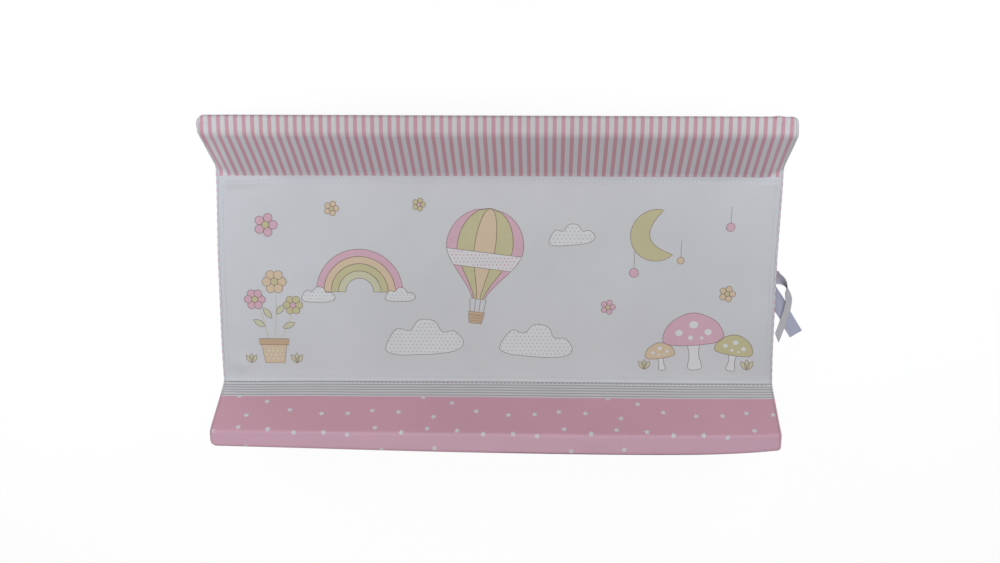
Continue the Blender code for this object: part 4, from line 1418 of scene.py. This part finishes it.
HOLE_RADIUS = 0.00055
HOLE_HEIGHT = 0.00006
HOLE_REACH = 0.0003
BOW_SHARE = 0.35


def needle_holes(name, places, material):
    """Painted shade of the needle holes where the thread enters the film: small grey eight-sided discs just
    above it.
    """
    angles = np.arange(8) * math.pi / 4
    around = places[:, None] + np.stack([np.cos(angles), np.sin(angles)], axis=1)[None] * HOLE_RADIUS
    points, _ = cover_at(around[..., 0], around[..., 1], np.full(around.shape[:2], HOLE_HEIGHT))
    index = np.arange(points.shape[0] * 8).reshape(-1, 8)
    obj = mesh_object(name, points.reshape(-1, 3), index, material)
    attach(obj, "mat")


def stitch_row(name, start, end, length, gap, thickness, material, hole=None):
    """Stitches on the film from start to end, both (u, v) in metres.

    Along a stitch, t from 0 to 1, the thread's middle stands sin(pi t) times 0.35 of its thickness above the
    film. Its radius is half the thickness times the fourth root of sin(pi t), which rounds off both ends.
    """
    start, end = np.array(start), np.array(end)
    span = float(np.linalg.norm(end - start))
    ahead = (end - start) / span
    count = int((span + gap) / (length + gap))
    firsts = np.arange(count) * (length + gap) + (span - count * (length + gap) + gap) / 2
    t = np.linspace(0.02, 0.98, 6)
    along = firsts[:, None] + t[None] * length
    places = start + ahead * along[..., None]
    u, v = places[..., 0], places[..., 1]
    bow = np.sin(math.pi * t)[None] * thickness * BOW_SHARE
    middle, normal = cover_at(u, v, np.broadcast_to(bow, u.shape))
    forward = np.gradient(middle, axis=1)
    forward /= np.linalg.norm(forward, axis=-1, keepdims=True)
    side = np.cross(forward, normal)
    radius = thickness / 2 * np.sin(math.pi * t) ** 0.25
    angles = np.arange(6) * math.pi / 3
    ring = side[..., None, :] * np.cos(angles)[:, None] + normal[..., None, :] * np.sin(angles)[:, None]
    points = middle[..., None, :] + ring * radius[None, :, None, None]
    per, around = len(t), len(angles)
    index = np.arange(count * per * around).reshape(count, per, around)
    one, two = index[:, :-1], index[:, 1:]
    quads = np.stack([one, np.roll(one, -1, axis=2), np.roll(two, -1, axis=2), two], axis=-1).reshape(-1, 4)
    # Two quads over the six points of its last ring close each end of a stitch.
    near = index[:, 0][:, [0, 5, 4, 1]], index[:, 0][:, [1, 4, 3, 2]]
    far = index[:, -1][:, [0, 1, 4, 5]], index[:, -1][:, [1, 2, 3, 4]]
    obj = mesh_object(name, points.reshape(-1, 3), np.concatenate([quads, *near, *far]), material)
    close_and_turn_out(obj)
    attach(obj, "mat")
    if hole:
        holes = (firsts[:, None] + np.array([-HOLE_REACH, length + HOLE_REACH])).ravel()
        needle_holes(name + "_holes", start + ahead * holes[:, None], hole)
    print(name, count, "stitches")


white_thread = thread_material("white_thread", linear(222, 222, 224), linear(204, 204, 208))
grey_thread = thread_material("grey_thread", linear(132, 133, 139), linear(116, 117, 124))
film_thread = thread_material("film_thread", linear(204, 204, 207), linear(194, 194, 198))
# Grey for the painted shade in the needle holes of the back channel.
needle_hole = ink_material("needle_hole", linear(178, 178, 186))
SEAM_INSET = 0.0062
FRONT_ROW = -0.1564
# A stitch has a length, the gap after it and the thread's thickness.
LONG_STITCH = (0.0042, 0.0018, 0.0008)
END_STITCH = (0.0036, 0.0020, 0.0006)
END_ROW_REACH = (0.134, -0.146)
reach = COVER_END - 0.004
back_row = (-reach, BACK_CHANNEL), (reach, BACK_CHANNEL)
front_row = (-reach, FRONT_ROW), (reach, FRONT_ROW)
stitch_row("back_channel_thread", *back_row, *LONG_STITCH, white_thread, needle_hole)
stitch_row("front_foot_thread", *front_row, *LONG_STITCH, grey_thread)
for side, name in ((-1, "left_end_thread"), (1, "right_end_thread")):
    u = side * (COVER_END - SEAM_INSET)
    stitch_row(name, (u, END_ROW_REACH[0]), (u, END_ROW_REACH[1]), *END_STITCH, film_thread)

# %% [markdown]
# ## Ribbon ties
# Two lengths of ribbed ribbon are sewn into the seam at the foot of the right end. The lower one lies flat.
# The upper one turns a corner: a ribbon can't bend in its own plane, so it folds along its middle, stands
# up on the fold and lies over, showing its paler side. Its section leans by a table of angles along its
# course.

# %% Ribbon
RIBBON_WIDTH = 0.020
RIBBON_THICKNESS = 0.0006
RIB_PITCH = 0.0009
WARP_PITCH = 0.0006
TIE_HINGE = HALF_LENGTH + 0.0035
TIE_START = HALF_LENGTH - 0.0008
TIE_GAP = 0.0006
HEM_STEPS = np.array([TIE_HINGE - TIE_START, 0.002, 0.001])
LOWER_HEADING = math.radians(-57.7)
LOWER_LENGTH = 0.064
LOWER_BOW = 0.0012
CURL_FROM = 0.72
CURL_RUN = 0.3
CURL_RISE = 0.0010
CURL_AT_EDGES = 0.0006
UPPER_ROOT = -0.002
LOWER_SPREAD = RIBBON_WIDTH / 2 / math.cos(LOWER_HEADING)
LOWER_ROOT = UPPER_ROOT - RIBBON_WIDTH / 2 - TIE_GAP - LOWER_SPREAD


def ribbon_material(name, light, dark):
    """Ribbed ribbon: fine ribs across its width, finer warp threads, and a colour that wanders a little."""
    made, tree, shader = new_material(name)
    place = add_node(tree, "Attribute", {"attribute_name": "print"}).outputs["Vector"]
    parts = add_node(tree, "SeparateXYZ", Vector=place)
    rib = cell(tree, parts.outputs[0], 0.0, RIB_PITCH)
    thread = cell(tree, parts.outputs[1], 0.0, WARP_PITCH)
    coordinates = add_node(tree, "TexCoord").outputs["Object"]
    mottle = add_node(tree, "TexNoise", Vector=coordinates, Scale=260.0, Detail=3.0).outputs[0]
    share = calc(tree, "ADD", calc(tree, "MULTIPLY", rib, 1.1), calc(tree, "MULTIPLY", mottle, 0.5))
    share = calc(tree, "SUBTRACT", share, 0.15)
    tree.links.new(mixed(tree, share, light, dark), shader.inputs["Base Color"])
    height = calc(tree, "ADD", calc(tree, "MULTIPLY", rib, -1.0), calc(tree, "MULTIPLY", thread, -0.25))
    bump = add_node(tree, "Bump", Strength=0.6, Distance=0.0004, Height=height)
    tree.links.new(bump.outputs[0], shader.inputs["Normal"])
    shader.inputs["Roughness"].default_value = 0.7
    return made


dull_ribbon = ribbon_material("ribbon_dull_side", linear(196, 195, 206), linear(168, 167, 179))
pale_ribbon = ribbon_material("ribbon_pale_side", linear(196, 195, 199), linear(170, 169, 174))
blue_ribbon = ribbon_material("ribbon_blue_side", linear(184, 187, 206), linear(158, 161, 181))


def final_mesh(obj):
    """Applies the modifiers: the object gets the mesh that they make, and loses them."""
    evaluated = obj.evaluated_get(bpy.context.evaluated_depsgraph_get())
    mesh = bpy.data.meshes.new_from_object(evaluated)
    obj.modifiers.clear()
    obj.data = mesh


def finish_ribbon(obj, nodes):
    """Thickens the strip both ways, makes its mesh final, sets its points in world space, and hides the parts
    it replaces.
    """
    give_thickness(obj, RIBBON_THICKNESS, 0.0)
    obj.modifiers["thickness"].material_offset = 1
    obj.modifiers["thickness"].use_even_offset = True
    final_mesh(obj)
    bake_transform(obj)
    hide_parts(*nodes)
    print(obj.name, len(obj.data.polygons), "faces")


# %% [markdown]
# The lower tie lies flat and straight, apart from a slight bow near the seam and a curl at its cut end. Its
# rows run from the skewed edge at the seam to a square edge at the tip.

# %% Lower tie
lengths = np.concatenate([-HEM_STEPS, np.linspace(0, LOWER_LENGTH, 60)])
across = np.linspace(-1, 1, 15)
share = np.clip(lengths / LOWER_LENGTH, 0, 1)[:, None, None]
heading = np.array([math.cos(LOWER_HEADING), math.sin(LOWER_HEADING)])
beside = np.array([-heading[1], heading[0]])
at_seam = np.array([TIE_HINGE, LOWER_ROOT])
root = at_seam + across[:, None] * np.array([0, LOWER_SPREAD])
end = at_seam + heading * LOWER_LENGTH + across[:, None] * beside * RIBBON_WIDTH / 2
bow = LOWER_BOW * np.sin(math.pi * np.clip(share / 0.6, 0, 1)) * beside
flat = root[None] + (end - root)[None] * share + bow
flat[..., 0] += np.minimum(lengths, 0)[:, None]
curl = smooth((share[..., 0] - CURL_FROM) / CURL_RUN) * (CURL_RISE + CURL_AT_EDGES * across[None] ** 2)
z = RIBBON_THICKNESS / 2 + curl
points = np.concatenate([flat, z[..., None]], axis=-1)
prints = np.stack(np.broadcast_arrays(lengths[:, None], across[None] * RIBBON_WIDTH / 2, 0.0), axis=-1)
lower_ribbon = grid_object("lower_ribbon", points, blue_ribbon, prints, flip=True)
lower_ribbon.data.materials.append(blue_ribbon)
finish_ribbon(lower_ribbon, ("lower_tie_root", "lower_tie_tail"))

# %% [markdown]
# The upper tie follows a curved course. At each place two angles say how its outer and inner halves lean,
# and the section between them is summed from small steps, so the ribbon keeps its width all along.

# %% Upper tie
UPPER_COURSE = np.array([
    (0.0, -0.10), (0.35, -0.24), (0.62, -0.45), (0.88, -0.79), (1.13, -1.19), (1.27, -1.60), (1.27, -2.10),
    (1.19, -2.60), (1.05, -3.10), (0.83, -3.85), (0.49, -4.91)]) * RIBBON_WIDTH
UPPER_LEANS = np.array([
    (0.0, 8, 178), (0.02, 36, 158), (0.06, 52, 134), (0.13, 74, 112), (0.17, 88, 104), (0.205, 100, 103),
    (0.245, 131, 134), (0.29, 151, 155), (0.36, 163, 167), (0.5, 171, 175), (1.0, 172, 178)], float).T
UPPER_RAISED = np.array([
    (0, 0), (0.06, 0), (0.12, 0.4), (0.2, 0.8), (0.26, 1), (0.8, 1), (0.9, 0.75), (1, 0.5)]).T
FOLD_SHARE = 0.08
FOLD_PLACE = -0.06
TIP_SLANT = 0.10
HALF_STEPS = 200


def course_at(share):
    """Points on a smooth curve through the knots of the course, at shares of its length."""
    steps = np.linalg.norm(np.diff(UPPER_COURSE, axis=0), axis=1)
    at = np.concatenate([[0], np.cumsum(steps)]) / steps.sum()
    slopes = np.gradient(UPPER_COURSE, at, axis=0)
    share = np.clip(share, 0, 1)
    index = np.clip(np.searchsorted(at, share) - 1, 0, len(at) - 2)
    span = at[index + 1] - at[index]
    t = ((share - at[index]) / span)[..., None]
    span = span[..., None]
    return (UPPER_COURSE[index] * (2 * t**3 - 3 * t**2 + 1) + slopes[index] * span * (t**3 - 2 * t**2 + t)
            + UPPER_COURSE[index + 1] * (3 * t**2 - 2 * t**3) + slopes[index + 1] * span * (t**3 - t**2))


across = np.array([
    -1, -0.85, -0.7, -0.55, -0.4, -0.28, -0.2, -0.15, -0.125, -0.1, -0.08, -0.06, -0.04, -0.02, 0,
    0.025, 0.05, 0.1, 0.15, 0.2, 0.28, 0.4, 0.55, 0.7, 0.85, 1])
share = np.linspace(0, 1, 110)[:, None] * np.ones(len(across))
share = share * (1 - TIP_SLANT * np.abs(across) * share**6)
outer = np.radians(np.interp(share, UPPER_LEANS[0], UPPER_LEANS[1]))
inner = np.radians(np.interp(share, UPPER_LEANS[0], UPPER_LEANS[2]) - 180)
fine = np.linspace(-1, 1, 2 * HALF_STEPS + 1)
lean = inner[..., None] + (outer - inner)[..., None] * smooth(((fine - FOLD_PLACE) / FOLD_SHARE + 1) / 2)
steps = np.exp(1j * lean)
sums = np.cumsum((steps[..., 1:] + steps[..., :-1]) / 2, axis=-1)
sums = np.concatenate([np.zeros(share.shape + (1,)), sums], axis=-1)
fold_index = round((FOLD_PLACE + 1) * HALF_STEPS)
sums = (sums - sums[..., fold_index:fold_index + 1]) * RIBBON_WIDTH / 2 / HALF_STEPS
picks = np.round((across + 1) * HALF_STEPS).astype(int)
reached = np.take_along_axis(sums, np.broadcast_to(picks, share.shape)[..., None], axis=-1)[..., 0]
centre = course_at(share)
ahead = course_at(share + 0.01) - course_at(share - 0.01)
ahead /= np.linalg.norm(ahead, axis=-1, keepdims=True)
raised = (RIBBON_THICKNESS + SEAM_GAP) * np.interp(share[:, :1], UPPER_RAISED[0], UPPER_RAISED[1])
x = np.maximum(TIE_HINGE + centre[..., 0] - ahead[..., 1] * reached.real, TIE_HINGE)
y = centre[..., 1] + ahead[..., 0] * reached.real
z = RIBBON_THICKNESS / 2 + raised + reached.imag - reached.imag.min(axis=1, keepdims=True)
points = np.stack([x, y, z], axis=-1)
hem = np.stack([points[0] - np.array([back, 0, 0]) for back in HEM_STEPS])
points = np.concatenate([hem, points])
course_length = float(np.linalg.norm(np.diff(UPPER_COURSE, axis=0), axis=1).sum())
along = np.concatenate([-HEM_STEPS[:, None] * np.ones(len(across)), share * course_length])
prints = np.stack(np.broadcast_arrays(along, across[None] * RIBBON_WIDTH / 2, 0.0), axis=-1)
upper_ribbon = grid_object("upper_ribbon", points, dull_ribbon, prints, flip=True)
upper_ribbon.data.materials.append(pale_ribbon)
finish_ribbon(upper_ribbon, ("upper_tie_root", "upper_tie_tail"))
